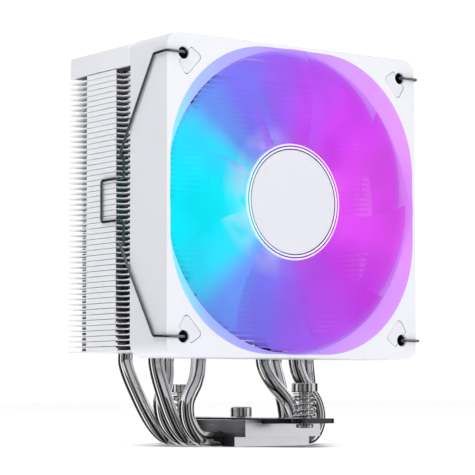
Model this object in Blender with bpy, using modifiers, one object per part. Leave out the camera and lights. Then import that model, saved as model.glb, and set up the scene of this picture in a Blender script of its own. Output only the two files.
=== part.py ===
"""Tower cooler for a processor: fin stack on four heat pipes, a clipped-on fan, and a spring-screw mounting bar.

Units are metres. +Z is up. The origin is the centre of the face that rests on the processor.
The fan is at the front, which is -Y, and blows along +Y through the fins.
"""
import math

import bmesh
import bpy
from mathutils import Matrix, Vector

MM = 0.001
GAP = 0.3 * MM                       # clearance between neighbouring pieces

# Fan
FAN_SIZE = 120 * MM
FAN_DEPTH = 25 * MM
FAN_CORNER = 5.5 * MM
FAN_AXIS_Z = 93.5 * MM
FAN_FRONT_Y = -36.4 * MM
FAN_REAR_Y = FAN_FRONT_Y + FAN_DEPTH
HOLE_PITCH = 105 * MM
HOLE_RADIUS = 2.3 * MM
DUCT_RADIUS = 58.3 * MM
MOUTH_HALF = 58.5 * MM               # the duct opens into a rounded square at the front face
MOUTH_CORNER = 45.2 * MM
FLARE_DEPTH = 4.2 * MM
DUCT_SEGMENTS = 56
PAD_DEPTH = 2.0 * MM
MOTOR_BASE_RADIUS = 25.5 * MM
STRUT_COUNT = 4
STRUT_WIDTH = 5 * MM
STRUT_DEPTH = 3.2 * MM

# Rotor, with distances along Y measured back from the fan's front face
HUB_RADIUS = 22.5 * MM
HUB_FRONT = 1.7 * MM
HUB_REAR = 20.2 * MM
HUB_WALL = 1.2 * MM
CAP_RADIUS = 20.2 * MM
CAP_THICKNESS = 1.0 * MM
BLADE_COUNT = 9
BLADE_TIP_RADIUS = 57.2 * MM
BLADE_THICKNESS = 1.5 * MM
BLADE_ROOT_SPAN = 60                 # degrees a blade covers round the axis, at the hub and at the tip
BLADE_TIP_SPAN = 56
BLADE_ROOT_DEPTH = 14.0 * MM         # how far a blade reaches back, at the hub and at the tip
BLADE_TIP_DEPTH = 8.0 * MM
BLADE_FRONT = 2.9 * MM
BLADE_SWEEP = math.radians(14)
BLADE_CAMBER = 1.5 * MM
SHAFT_RADIUS = 1.5 * MM
BEARING_RADIUS = 3.0 * MM
BEARING_TUBE_RADIUS = 4.4 * MM
STATOR_RADIUS = 18.2 * MM
POLE_COUNT = 4

# Fin stack
FIN_GROUPS = 13
FINS_PER_GROUP = 2
STACK_BOTTOM_Z = 36.1 * MM
STACK_TOP_Z = 143.5 * MM
GROUP_PITCH = (STACK_TOP_Z + GAP - STACK_BOTTOM_Z) / FIN_GROUPS
FIN_THICKNESS = 0.4 * MM
STACK_HALF_WIDTH = 60 * MM
STACK_FRONT_Y = FAN_REAR_Y + GAP
STACK_REAR_Y = 32.4 * MM
FIN_INSET = 0.2 * MM                 # fin edge behind the outer face of the folded side wall
WALL_THICKNESS = 0.5 * MM
WALL_FRONT_Y = -1.56 * MM
WALL_REAR_Y = 19.3 * MM
TAB_INNER_X = 45 * MM                # folded tab on the rear edge
TAB_OUTER_X = 53.8 * MM
CLIP_NOTCH_FRONT_Y = -8.1 * MM
CLIP_NOTCH_DEPTH = 3.6 * MM
FIN_CHAMFER = 2.3 * MM
FIN_LIP_INSET = 1.3 * MM             # the fins' front lip, which the clip wires hook behind

# Top cover
COVER_TOP_Z = 152.2 * MM
COVER_WALL = 1.6 * MM
COVER_SEAM = 0.5 * MM                # dark line between the cover's rim and the top fin
COVER_EDGE = 1.2 * MM

# Heat pipes: spread at the base, and leg positions where they enter the fins
PIPE_RADIUS = 3.0 * MM
PIPE_CENTRE_Z = 2.7 * MM
PIPE_BASE_PITCH = 7.0 * MM
PIPE_TOP_Z = 148.6 * MM
INNER_LEG_X = 23.6 * MM
OUTER_LEG_X = 37.0 * MM
LEG_Y = (-4.8 * MM, 5.1 * MM, 17.2 * MM, 26.6 * MM)
LEG_SPREAD_Z = 31 * MM               # height at which a leg reaches its place in the fins
INNER_BULGE = ((24.5, 2.7), (28.0, 3.9), (30.4, 6.6), (31.7, 9.8), (31.9, 13.0), (31.3, 16.6),
               (29.4, 20.0), (26.9, 23.4), (24.9, 27.6), (23.9, 32.0), (23.6, 36.5))
OUTER_SWEEP = ((25.0, 2.7), (28.8, 3.6), (31.4, 6.2), (33.2, 9.8), (34.6, 14.6), (35.7, 20.4),
               (36.6, 26.4), (37.0, 32.0), (37.0, 36.5))
PIPE_HOLE_HALF = PIPE_RADIUS + GAP

# Base
BASE_HALF_X = 18 * MM
BASE_HALF_Y = 27.4 * MM
FOOT_HALF_Y = 20.4 * MM
FOOT_HEIGHT = 3.7 * MM
BASE_TOP_Z = 10.1 * MM

# Mounting bar and its screws
BAR_HALF_X = 10.0 * MM
BAR_HALF_Y = 48.7 * MM
BAR_CORNER = 4.0 * MM
BAR_BOTTOM_Z = 8.9 * MM
BAR_THICKNESS = 1.9 * MM
BAR_TOP_Z = BAR_BOTTOM_Z + BAR_THICKNESS
SCREW_Y = 40.8 * MM
SCREW_HEAD_RADIUS = 5.1 * MM
SCREW_HEAD_HEIGHT = 3.5 * MM
SCREW_TOP_Z = 24.1 * MM
SCREW_END_Z = 7.1 * MM
SCREW_RADIUS = 2.3 * MM
SCREW_CHAMFER = 0.3 * MM
SLOT_LENGTH = 6.8 * MM               # cross slot in the screw's head
SLOT_WIDTH = 1.0 * MM
SLOT_DEPTH = 1.2 * MM
WASHER_THICKNESS = 0.5 * MM
WASHER_RADIUS = 4.6 * MM
RING_RADIUS = 3.3 * MM
RING_LOW_Z = 7.2 * MM
SPRING_RADIUS = 3.9 * MM
SPRING_WIRE_RADIUS = 0.5 * MM
SPRING_TURNS = 4
SPRING_STEPS = 10
CENTRE_HEAD_RADIUS = 4.25 * MM
CENTRE_HEAD_HEIGHT = 3.9 * MM
CENTRE_SHANK_RADIUS = 1.8 * MM

# Wire clips
WIRE_RADIUS = 0.55 * MM
WIRE_SIDE_X = STACK_HALF_WIDTH + GAP + WIRE_RADIUS
WIRE_BEND = 1.3 * MM
HOOK_X = STACK_HALF_WIDTH - 1.8 * MM
HOOK_Y = -4.5 * MM
HOOK_Z = 16.9 * MM                   # heights here are above the fan's axis
LOOP_Z = 8.0 * MM
LOOP_DEPTH = 43.4 * MM
LEG_TOP_DEPTH = 7.4 * MM
LEG_TOP_Z = 52.2 * MM
LEG_END_DEPTH = 30.6 * MM
PIN_DEPTH = 4.6 * MM


def fan_y(depth):
    """Y of a point at a depth behind the fan's front face."""
    return FAN_FRONT_Y + depth


# ---------------------------------------------------------------- helpers

def clear_scene():
    for obj in list(bpy.data.objects):
        bpy.data.objects.remove(obj, do_unlink=True)


def collection(name):
    made = bpy.data.collections.new(name)
    bpy.context.scene.collection.children.link(made)
    return made


def material(name, colour, roughness, metallic=0.0):
    made = bpy.data.materials.new(name)
    made.use_nodes = True
    shader = made.node_tree.nodes["Principled BSDF"]
    shader.inputs["Base Color"].default_value = (*colour, 1.0)
    shader.inputs["Roughness"].default_value = roughness
    shader.inputs["Metallic"].default_value = metallic
    return made


def place(name, data, finish, location=(0, 0, 0)):
    obj = bpy.data.objects.new(name, data)
    obj.location = location
    PARTS.objects.link(obj)
    if finish is not None:
        data.materials.clear()
        data.materials.append(finish)
    return obj


def mesh_from(name, build):
    """A mesh made by a function that fills a bmesh."""
    work = bmesh.new()
    build(work)
    bmesh.ops.recalc_face_normals(work, faces=work.faces)
    mesh = bpy.data.meshes.new(name)
    work.to_mesh(mesh)
    work.free()
    return mesh


def box_mesh(name, low, high):
    """A box between two corners."""
    low, high = Vector(low), Vector(high)
    size = high - low
    matrix = Matrix.Translation((low + high) / 2) @ Matrix.Diagonal((*size, 1))
    return mesh_from(name, lambda work: bmesh.ops.create_cube(work, size=1, matrix=matrix))


def cylinder_mesh(name, radius, start, end, segments=32):
    """A cylinder between two points."""
    start, end = Vector(start), Vector(end)
    along = end - start
    turn = along.to_track_quat("Z", "Y").to_matrix().to_4x4()
    matrix = Matrix.Translation((start + end) / 2) @ turn

    def build(work):
        bmesh.ops.create_cone(work, cap_ends=True, segments=segments, radius1=radius,
                              radius2=radius, depth=along.length, matrix=matrix)
    return mesh_from(name, build)


def smooth(obj):
    obj.data.shade_smooth()
    obj.data.set_sharp_from_angle(angle=math.radians(35))
    return obj


def cutter(name, mesh):
    obj = bpy.data.objects.new(name, mesh)
    CUTTERS.objects.link(obj)
    obj.hide_render = True
    obj.display_type = "WIRE"
    return obj


def boolean(obj, other, operation):
    modifier = obj.modifiers.new(other.name, "BOOLEAN")
    modifier.operation = operation
    modifier.object = other


def cut(obj, name, mesh):
    boolean(obj, cutter(name, mesh), "DIFFERENCE")


def join(obj, name, mesh):
    boolean(obj, cutter(name, mesh), "UNION")


def outline_curve(name, outlines, thickness):
    """A flat plate from closed outlines in the curve's own XY plane; the later outlines are holes."""
    curve = bpy.data.curves.new(name, "CURVE")
    curve.dimensions = "2D"
    curve.fill_mode = "BOTH"
    curve.extrude = thickness / 2
    for outline in outlines:
        spline = curve.splines.new("POLY")
        spline.points.add(len(outline) - 1)
        spline.use_cyclic_u = True
        for point, (x, y) in zip(spline.points, outline):
            point.co = (x, y, 0, 1)
    return curve


def curve_to_mesh(name, curve, matrix=None):
    """The closed mesh of a curve, with its caps welded on."""
    guide = bpy.data.objects.new(name + "_curve", curve)
    CUTTERS.objects.link(guide)
    bpy.context.view_layer.update()
    evaluated = guide.evaluated_get(bpy.context.evaluated_depsgraph_get())
    mesh = bpy.data.meshes.new_from_object(evaluated)
    mesh.name = name
    bpy.data.objects.remove(guide, do_unlink=True)
    work = bmesh.new()
    work.from_mesh(mesh)
    bmesh.ops.remove_doubles(work, verts=work.verts, dist=1e-6)
    if matrix is not None:
        bmesh.ops.transform(work, matrix=matrix, verts=work.verts)
    bmesh.ops.recalc_face_normals(work, faces=work.faces)
    work.to_mesh(mesh)
    work.free()
    return mesh


def circle(radius, segments, centre=(0, 0), start=0.0):
    """Points around a circle."""
    step = 2 * math.pi / segments
    return [(centre[0] + radius * math.cos(start + i * step),
             centre[1] + radius * math.sin(start + i * step)) for i in range(segments)]


def rounded_outline(corners, radii, steps=4):
    """A closed outline whose corners are arcs; a radius of zero keeps a corner sharp."""
    points = []
    count = len(corners)
    for index, (corner, radius) in enumerate(zip(corners, radii)):
        here = Vector(corner)
        before = (Vector(corners[index - 1]) - here).normalized()
        after = (Vector(corners[(index + 1) % count]) - here).normalized()
        if radius == 0:
            points.append(tuple(here))
            continue
        half = math.acos(max(-1, min(1, before.dot(after)))) / 2
        centre = here + (before + after).normalized() * radius / math.sin(half)
        first = here + before * radius / math.tan(half) - centre
        last = here + after * radius / math.tan(half) - centre
        for step in range(steps + 1):
            arm = first.lerp(last, step / steps).normalized() * radius
            points.append(tuple(centre + arm))
    return points


def rectangle(half_x, half_y):
    return [(-half_x, -half_y), (half_x, -half_y), (half_x, half_y), (-half_x, half_y)]


def on_fan_face(depth):
    """Stands a curve's XY plane upright, facing the front, with its centre on the fan's axis."""
    turn = Matrix.Rotation(math.radians(90), 4, "X")
    return Matrix.Translation((0, fan_y(depth), FAN_AXIS_Z)) @ turn


def fan_plate(name, outlines, front, rear):
    """A plate of the fan between two depths behind its front face."""
    curve = outline_curve(name, outlines, rear - front)
    return curve_to_mesh(name, curve, on_fan_face((front + rear) / 2))


def fan_cylinder(name, radius, front, rear, segments=32):
    start = (0, fan_y(front), FAN_AXIS_Z)
    end = (0, fan_y(rear), FAN_AXIS_Z)
    return cylinder_mesh(name, radius, start, end, segments)


def turned(name, profile, finish, centre, segments=40):
    """A body turned about Z through its centre, from a closed profile of (radius, height) points."""
    mesh = bpy.data.meshes.new(name)
    work = bmesh.new()
    corners = [work.verts.new((radius, 0, height)) for radius, height in profile]
    for first, second in zip(corners, corners[1:] + corners[:1]):
        work.edges.new((first, second))
    work.to_mesh(mesh)
    work.free()
    obj = place(name, mesh, finish, centre)
    screw = obj.modifiers.new("turn", "SCREW")
    screw.axis = "Z"
    screw.angle = 2 * math.pi
    screw.screw_offset = 0
    screw.steps = segments
    screw.render_steps = segments
    screw.use_merge_vertices = True
    screw.merge_threshold = 0.00001
    return obj


def ring_profile(inner, outer, low, high):
    """Profile of a plain ring, its outer side running down from top to bottom."""
    return [(outer, high), (outer, low), (inner, low), (inner, high)]


def fan_turned(name, profile, finish, segments=40):
    """A turned body of the fan; its profile's heights are depths behind the front face, negated."""
    obj = turned(name, profile, finish, (0, FAN_FRONT_Y, FAN_AXIS_Z), segments)
    obj.rotation_euler = (math.radians(90), 0, 0)
    return obj


def depth_ring(inner, outer, front, rear):
    return ring_profile(inner, outer, -rear, -front)


def smooth_path(points, steps):
    """A Catmull-Rom curve through the points."""
    points = [Vector(point) for point in points]
    ends = [2 * points[0] - points[1], *points, 2 * points[-1] - points[-2]]
    path = []
    for before, here, there, after in zip(ends, ends[1:], ends[2:], ends[3:]):
        for step in range(steps):
            t = step / steps
            path.append(0.5 * (2 * here + (there - before) * t
                               + (2 * before - 5 * here + 4 * there - after) * t ** 2
                               + (3 * here - before - 3 * there + after) * t ** 3))
    return path + [points[-1]]


def bent_path(corners, radius, steps=2):
    """A path through corners, each rounded by an arc."""
    corners = [Vector(corner) for corner in corners]
    path = [corners[0]]
    for before, here, after in zip(corners, corners[1:], corners[2:]):
        back = (before - here).normalized()
        ahead = (after - here).normalized()
        half = math.acos(max(-1, min(1, back.dot(ahead)))) / 2
        centre = here + (back + ahead).normalized() * radius / math.sin(half)
        first = here + back * radius / math.tan(half) - centre
        last = here + ahead * radius / math.tan(half) - centre
        for step in range(steps + 1):
            path.append(centre + first.lerp(last, step / steps).normalized() * radius)
    return path + [corners[-1]]


def wire_curve(name, path, radius, resolution=2):
    curve = bpy.data.curves.new(name, "CURVE")
    curve.dimensions = "3D"
    curve.bevel_depth = radius
    curve.bevel_resolution = resolution
    curve.use_fill_caps = True
    spline = curve.splines.new("POLY")
    spline.points.add(len(path) - 1)
    for point, position in zip(spline.points, path):
        point.co = (*position, 1)
    return curve


# ---------------------------------------------------------------- fan frame

def pad_outline(sign_x, sign_z, grow=0.0):
    """The corner pad's outline: four-sided, one long side facing the fan's centre, the other
    crossing the mounting hole."""
    wedge = [(49.2, 54.9), (44.2, 51.6), (51.4, 43.7), (54.5, 49.0)]
    radii = [0.8 * MM, 1.6 * MM, 1.6 * MM, 0.8 * MM]
    centre = Vector((49.5, 50))
    points = []
    for corner in wedge:
        arm = Vector(corner) - centre
        point = (centre + arm * (1 + grow / arm.length)) * MM
        points.append((point.x * sign_x, point.y * sign_z))
    return rounded_outline(points, radii, steps=2)


def corner_holes(radius, segments=10):
    half = HOLE_PITCH / 2
    return [circle(radius, segments, (x, z)) for x in (-half, half) for z in (-half, half)]


def mouth_radius(turn):
    """Distance from the fan's axis to the rounded square mouth, in a direction across the front face."""
    from_side = abs((turn + math.pi / 4) % (math.pi / 2) - math.pi / 4)
    flat = MOUTH_HALF - MOUTH_CORNER
    if math.tan(from_side) < flat / MOUTH_HALF:
        return MOUTH_HALF / math.cos(from_side)
    along = flat * (math.cos(from_side) + math.sin(from_side))
    return along + math.sqrt(along ** 2 - 2 * flat ** 2 + MOUTH_CORNER ** 2)


def duct_flare():
    """Cutter that opens the round duct into the mouth: a loft from the rounded square to a circle."""
    ahead, throat = 0.5 * MM, DUCT_RADIUS - 0.4 * MM

    def build(work):
        rings = []
        for depth in (-ahead, FLARE_DEPTH):
            share = depth / FLARE_DEPTH
            ring = []
            for index in range(DUCT_SEGMENTS):
                turn = 2 * math.pi * index / DUCT_SEGMENTS
                radius = mouth_radius(turn) * (1 - share) + throat * share
                ring.append(work.verts.new((radius * math.cos(turn), radius * math.sin(turn), -depth)))
            rings.append(ring)
        mouth, inner = rings
        for index in range(DUCT_SEGMENTS):
            after = (index + 1) % DUCT_SEGMENTS
            work.faces.new((mouth[index], mouth[after], inner[after], inner[index]))
        work.faces.new(mouth)
        work.faces.new(inner)
    flare = mesh_from("duct_flare", build)
    flare.transform(on_fan_face(0))
    return flare


def make_fan_frame():
    half = FAN_SIZE / 2
    outer = rounded_outline(rectangle(half, half), [FAN_CORNER] * 4)
    outlines = [outer, circle(DUCT_RADIUS, DUCT_SEGMENTS)] + corner_holes(HOLE_RADIUS)
    frame = place("fan_frame", fan_plate("fan_frame", outlines, 0, FAN_DEPTH), WHITE_PLASTIC)
    cut(frame, "duct_flare", duct_flare())
    for name, (sign_x, sign_z) in CORNERS.items():
        pocket = [pad_outline(sign_x, sign_z, grow=0.35)]
        cut(frame, "pocket_" + name, fan_plate("pocket_" + name, pocket, -1 * MM, PAD_DEPTH + GAP))
    strut_front = FAN_DEPTH - STRUT_DEPTH
    disc = fan_cylinder("motor_disc", MOTOR_BASE_RADIUS, strut_front + 1 * MM, FAN_DEPTH - 0.2 * MM, 36)
    for index in range(STRUT_COUNT):
        angle = math.radians(45 + 90 * index)
        arm = box_mesh("strut", (10 * MM, -STRUT_WIDTH / 2, -STRUT_DEPTH / 2),
                       (DUCT_RADIUS + 3 * MM, STRUT_WIDTH / 2, STRUT_DEPTH / 2))
        lean = Matrix.Rotation(angle, 4, "Z")
        middle = strut_front + STRUT_DEPTH / 2 - 0.1 * MM
        arm.transform(on_fan_face(middle) @ lean)
        join(frame, "strut_%d" % (index + 1), arm)
    join(frame, "motor_disc", disc)
    tube = fan_cylinder("bearing_tube", BEARING_TUBE_RADIUS, 6 * MM, strut_front + 2 * MM, 20)
    join(frame, "bearing_tube", tube)
    bore = fan_cylinder("bearing_bore", BEARING_RADIUS + GAP, 5 * MM, strut_front + 0.6 * MM, 20)
    cut(frame, "bearing_bore", bore)


def make_corner_pads():
    for name, (sign_x, sign_z) in CORNERS.items():
        mesh = fan_plate("corner_pad_" + name, [pad_outline(sign_x, sign_z)], 0, PAD_DEPTH)
        pad = place("corner_pad_" + name, mesh, WHITE_RUBBER)
        bite = circle(HOLE_RADIUS, 12, (sign_x * HOLE_PITCH / 2, sign_z * HOLE_PITCH / 2))
        cut(pad, "bite_" + name, fan_plate("bite_" + name, [bite], -1 * MM, PAD_DEPTH + 1 * MM))


# ---------------------------------------------------------------- rotor and motor

def blade_mesh(angle):
    """One fan blade: a twisted, forward-swept sheet that starts inside the hub wall."""
    rows, columns = 5, 4
    root = HUB_RADIUS - 0.6 * MM

    def build(work):
        grid = []
        for i in range(rows):
            out = i / (rows - 1)
            radius = root + (BLADE_TIP_RADIUS - root) * out
            chord = math.radians(BLADE_ROOT_SPAN + (BLADE_TIP_SPAN - BLADE_ROOT_SPAN) * out)
            sweep = BLADE_SWEEP * out ** 1.5
            pitch_depth = BLADE_ROOT_DEPTH + (BLADE_TIP_DEPTH - BLADE_ROOT_DEPTH) * out
            line = []
            for j in range(columns):
                along = j / (columns - 1)
                turn = angle + sweep + chord * (along - 0.5)
                depth = BLADE_FRONT + pitch_depth * (1 - along) - BLADE_CAMBER * math.sin(math.pi * along)
                line.append(work.verts.new((radius * math.cos(turn), fan_y(depth),
                                            FAN_AXIS_Z + radius * math.sin(turn))))
            grid.append(line)
        for low, high in zip(grid, grid[1:]):
            for j in range(columns - 1):
                work.faces.new((low[j], low[j + 1], high[j + 1], high[j]))
    return mesh_from("blade", build)


def thick_sheet(name, mesh, thickness):
    """The closed mesh of a sheet thickened on both sides."""
    guide = bpy.data.objects.new(name, mesh)
    CUTTERS.objects.link(guide)
    solid = guide.modifiers.new("thick", "SOLIDIFY")
    solid.thickness = thickness
    solid.offset = 0
    bpy.context.view_layer.update()
    evaluated = guide.evaluated_get(bpy.context.evaluated_depsgraph_get())
    result = bpy.data.meshes.new_from_object(evaluated)
    result.name = name
    bpy.data.objects.remove(guide, do_unlink=True)
    return result


def make_impeller():
    """Hub cup with its blades: closed at the front, open at the back for the motor."""
    front, rear = HUB_FRONT + CAP_THICKNESS + GAP, HUB_REAR
    inner = HUB_RADIUS - HUB_WALL
    seat = CAP_RADIUS + GAP
    profile = [(seat, -front), (seat, -HUB_FRONT), (HUB_RADIUS - 0.8 * MM, -HUB_FRONT),
               (HUB_RADIUS, -HUB_FRONT - 0.8 * MM), (HUB_RADIUS, -rear), (inner, -rear),
               (inner, -front - HUB_WALL), (SHAFT_RADIUS + GAP, -front - HUB_WALL),
               (SHAFT_RADIUS + GAP, -front)]
    impeller = fan_turned("impeller", profile, WHITE_TRANSLUCENT, 36)
    for index in range(BLADE_COUNT):
        sheet = blade_mesh(2 * math.pi * index / BLADE_COUNT)
        blade = thick_sheet("blade_%d" % (index + 1), sheet, BLADE_THICKNESS)
        join(impeller, blade.name, blade)


def make_rotor_pieces():
    cap_rear = HUB_FRONT + CAP_THICKNESS
    cap = depth_cap(CAP_RADIUS, HUB_FRONT - 0.4 * MM, cap_rear)
    fan_turned("hub_cap", cap, SATIN_SILVER, 36)
    magnet = depth_ring(19.4 * MM, HUB_RADIUS - HUB_WALL - GAP, 7 * MM, 18.4 * MM)
    fan_turned("rotor_magnet", magnet, DARK_MAGNET, 32)
    shaft = fan_cylinder("rotor_shaft", SHAFT_RADIUS, cap_rear + GAP, 21.4 * MM, 16)
    smooth(place("rotor_shaft", shaft, STEEL))


def depth_cap(radius, front, rear):
    """Profile of a slightly domed disc, from the axis out to its rim."""
    dome = 0.35 * MM
    return [(0, -front), (radius * 0.7, -front - dome * 0.4), (radius - 0.4 * MM, -front - dome),
            (radius, -front - dome - 0.3 * MM), (radius, -rear), (0, -rear)]


def make_motor():
    bearing = depth_ring(SHAFT_RADIUS + GAP, BEARING_RADIUS, 6.2 * MM, 20.6 * MM)
    fan_turned("shaft_bearing", bearing, BRASS, 20)
    clip = depth_ring(SHAFT_RADIUS + GAP, BEARING_RADIUS - 0.2 * MM, 20.9 * MM, 21.5 * MM)
    fan_turned("shaft_retainer", clip, STEEL, 16)
    make_stator()
    board = depth_ring(BEARING_TUBE_RADIUS + GAP, 18.8 * MM, 19.2 * MM, 20.4 * MM)
    fan_turned("circuit_board", board, GREEN_BOARD, 24)
    diffuser = depth_ring(HUB_RADIUS + 0.4 * MM, MOTOR_BASE_RADIUS - 0.4 * MM, 19.9 * MM, 21.4 * MM)
    fan_turned("light_ring", diffuser, WHITE_TRANSLUCENT, 32)


def make_stator():
    """Laminated core with four poles, and a winding around each pole's neck."""
    neck, tip = 1.6 * MM, math.radians(34)
    neck_end, core_radius = 14.6 * MM, 7.4 * MM
    points = []
    for index in range(POLE_COUNT):
        middle = 2 * math.pi * index / POLE_COUNT
        along = Vector((math.cos(middle), math.sin(middle)))
        side = Vector((-along.y, along.x))
        points.append(along * core_radius - side * neck)
        points.append(along * neck_end - side * neck)
        for step in range(5):
            angle = middle + tip * (step / 2 - 1)
            if step == 0:
                points.append(Vector((math.cos(angle), math.sin(angle))) * (neck_end + 0.6 * MM))
            points.append(Vector((math.cos(angle), math.sin(angle))) * STATOR_RADIUS)
            if step == 4:
                points.append(Vector((math.cos(angle), math.sin(angle))) * (neck_end + 0.6 * MM))
        points.append(along * neck_end + side * neck)
        points.append(along * core_radius + side * neck)
    hole = circle(BEARING_TUBE_RADIUS + GAP, 16)
    place("stator_core", fan_plate("stator_core", [points, hole], 9 * MM, 17 * MM), STEEL)
    for index in range(POLE_COUNT):
        make_winding(index, neck + GAP)


def make_winding(index, inside):
    """One coil of wire, as a rounded frame around a pole's neck."""
    name = "stator_winding_%d" % (index + 1)
    depth_inside = 4 * MM + GAP
    build_up = 1.5 * MM
    outer = rounded_outline(rectangle(inside + build_up, depth_inside + build_up), [1.2 * MM] * 4, steps=2)
    curve = outline_curve(name, [outer, rectangle(inside, depth_inside)], 5.6 * MM)
    facing = Matrix.Rotation(math.radians(90), 4, "Z") @ Matrix.Rotation(math.radians(90), 4, "X")
    centre = Matrix.Translation((11.2 * MM, 0, 0))
    turn = Matrix.Rotation(2 * math.pi * index / POLE_COUNT, 4, "Z")
    upright = on_fan_face(13 * MM)
    place(name, curve_to_mesh(name, curve, upright @ turn @ centre @ facing), COPPER)


# ---------------------------------------------------------------- fin stack and cover

def fin_outline():
    """Half of the fin's edge, from the front to the rear on the +X side, then mirrored."""
    edge = STACK_HALF_WIDTH - FIN_INSET
    draft = 0.2 * MM
    lip = edge - FIN_LIP_INSET
    half = [(lip - FIN_CHAMFER, STACK_FRONT_Y), (lip, STACK_FRONT_Y + FIN_CHAMFER),
            (lip, CLIP_NOTCH_FRONT_Y), (edge - CLIP_NOTCH_DEPTH, CLIP_NOTCH_FRONT_Y + draft),
            (edge - CLIP_NOTCH_DEPTH, WALL_FRONT_Y - draft), (edge, WALL_FRONT_Y + 0.1 * MM),
            (edge, STACK_REAR_Y)]
    return half + [(-x, y) for x, y in reversed(half)]


def leg_x(index):
    return INNER_LEG_X if index % 2 == 0 else OUTER_LEG_X


def fin_holes():
    square = circle(PIPE_HOLE_HALF * math.sqrt(2), 4, start=math.radians(47))
    holes = []
    for index, y in enumerate(LEG_Y):
        for side in (-1, 1):
            holes.append([(side * (leg_x(index) + dx), y + dy) for dx, dy in square])
    return holes


def make_fin_groups():
    """Each group is a run of fins held together by the folded walls at both sides."""
    spacing = GROUP_PITCH / FINS_PER_GROUP
    plate = outline_curve("fin", [fin_outline()] + fin_holes(), FIN_THICKNESS)
    fins = [curve_to_mesh("fin_%d" % level, plate, Matrix.Translation((0, 0, spacing * level + FIN_THICKNESS / 2)))
            for level in range(FINS_PER_GROUP)]
    wall_low, wall_high = FIN_THICKNESS / 2, GROUP_PITCH - GAP
    first = place("fin_group_01", fins[0], WHITE_PAINT, (0, 0, STACK_BOTTOM_Z))
    for side in (-1, 1):
        ends = sorted((side * STACK_HALF_WIDTH, side * (STACK_HALF_WIDTH - WALL_THICKNESS)))
        wall = box_mesh("wall", (ends[0], WALL_FRONT_Y, wall_low), (ends[1], WALL_REAR_Y, wall_high))
        ends = sorted((side * TAB_INNER_X, side * TAB_OUTER_X))
        tab = box_mesh("tab", (ends[0], STACK_REAR_Y - WALL_THICKNESS, wall_low),
                       (ends[1], STACK_REAR_Y - 0.1 * MM, wall_high))
        for label, fold in (("side_wall", wall), ("rear_tab", tab)):
            joined = cutter("%s_%+d" % (label, side), fold)
            joined.location.z = STACK_BOTTOM_Z
            boolean(first, joined, "UNION")
    for level in range(1, FINS_PER_GROUP):
        joined = cutter("fin_level_%d" % level, fins[level])
        joined.location.z = STACK_BOTTOM_Z
        boolean(first, joined, "UNION")
    bpy.context.view_layer.update()
    evaluated = first.evaluated_get(bpy.context.evaluated_depsgraph_get())
    whole = bpy.data.meshes.new_from_object(evaluated)
    whole.name = "fin_group"
    first.modifiers.clear()
    first.data = whole
    for index in range(1, FIN_GROUPS):
        obj = place("fin_group_%02d" % (index + 1), whole, None)
        obj.location.z = STACK_BOTTOM_Z + index * GROUP_PITCH


def make_top_cover():
    low_z = STACK_TOP_Z + COVER_SEAM
    half_y = (STACK_REAR_Y - STACK_FRONT_Y) / 2
    middle_y = (STACK_REAR_Y + STACK_FRONT_Y) / 2
    outer = box_mesh("top_cover", (-STACK_HALF_WIDTH, -half_y, 0),
                     (STACK_HALF_WIDTH, half_y, COVER_TOP_Z - low_z))
    cover = place("top_cover", outer, WHITE_PLASTIC, (0, middle_y, low_z))
    edges = cover.modifiers.new("edges", "BEVEL")
    edges.width = COVER_EDGE
    edges.segments = 2
    edges.limit_method = "ANGLE"
    inside = box_mesh("cover_inside", (-STACK_HALF_WIDTH + COVER_WALL, -half_y + COVER_WALL, -2 * MM),
                      (STACK_HALF_WIDTH - COVER_WALL, half_y - COVER_WALL, COVER_TOP_Z - low_z - COVER_WALL))
    hollow = cutter("cover_inside", inside)
    hollow.location = (0, middle_y, low_z)
    boolean(cover, hollow, "DIFFERENCE")


# ---------------------------------------------------------------- heat pipes and base

def base_pipe_y(index):
    return (index - 1.5) * PIPE_BASE_PITCH


def pipe_path(index):
    """Centre line of a U-shaped pipe: flat through the base, spreading out and up into the fins."""
    route = INNER_BULGE if index % 2 == 0 else OUTER_SWEEP
    low_y, high_y = base_pipe_y(index), LEG_Y[index]
    leg = []
    for x, z in route:
        height = z * MM
        share = min(1, (height - PIPE_CENTRE_Z) / (LEG_SPREAD_Z - PIPE_CENTRE_Z))
        leg.append((x * MM, low_y + (high_y - low_y) * share, height))
    curved = smooth_path([(15 * MM, low_y, PIPE_CENTRE_Z)] + leg, 1)
    right = [(point.x, point.y, point.z) for point in curved] + [(leg_x(index), high_y, PIPE_TOP_Z)]
    left = [(-x, y, z) for x, y, z in reversed(right)]
    return left + right


def make_heat_pipes():
    for index in range(len(LEG_Y)):
        name = "heat_pipe_%d" % (index + 1)
        mesh = curve_to_mesh(name, wire_curve(name, pipe_path(index), PIPE_RADIUS))
        work = bmesh.new()
        work.from_mesh(mesh)
        geometry = work.verts[:] + work.edges[:] + work.faces[:]
        cut_edges = bmesh.ops.bisect_plane(work, geom=geometry, plane_co=(0, 0, 0),
                                           plane_no=(0, 0, -1), clear_outer=True, dist=1e-7)
        rim = [item for item in cut_edges["geom_cut"] if isinstance(item, bmesh.types.BMEdge)]
        bmesh.ops.holes_fill(work, edges=rim, sides=0)
        bmesh.ops.recalc_face_normals(work, faces=work.faces)
        work.to_mesh(mesh)
        work.free()
        smooth(place(name, mesh, NICKEL))


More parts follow.
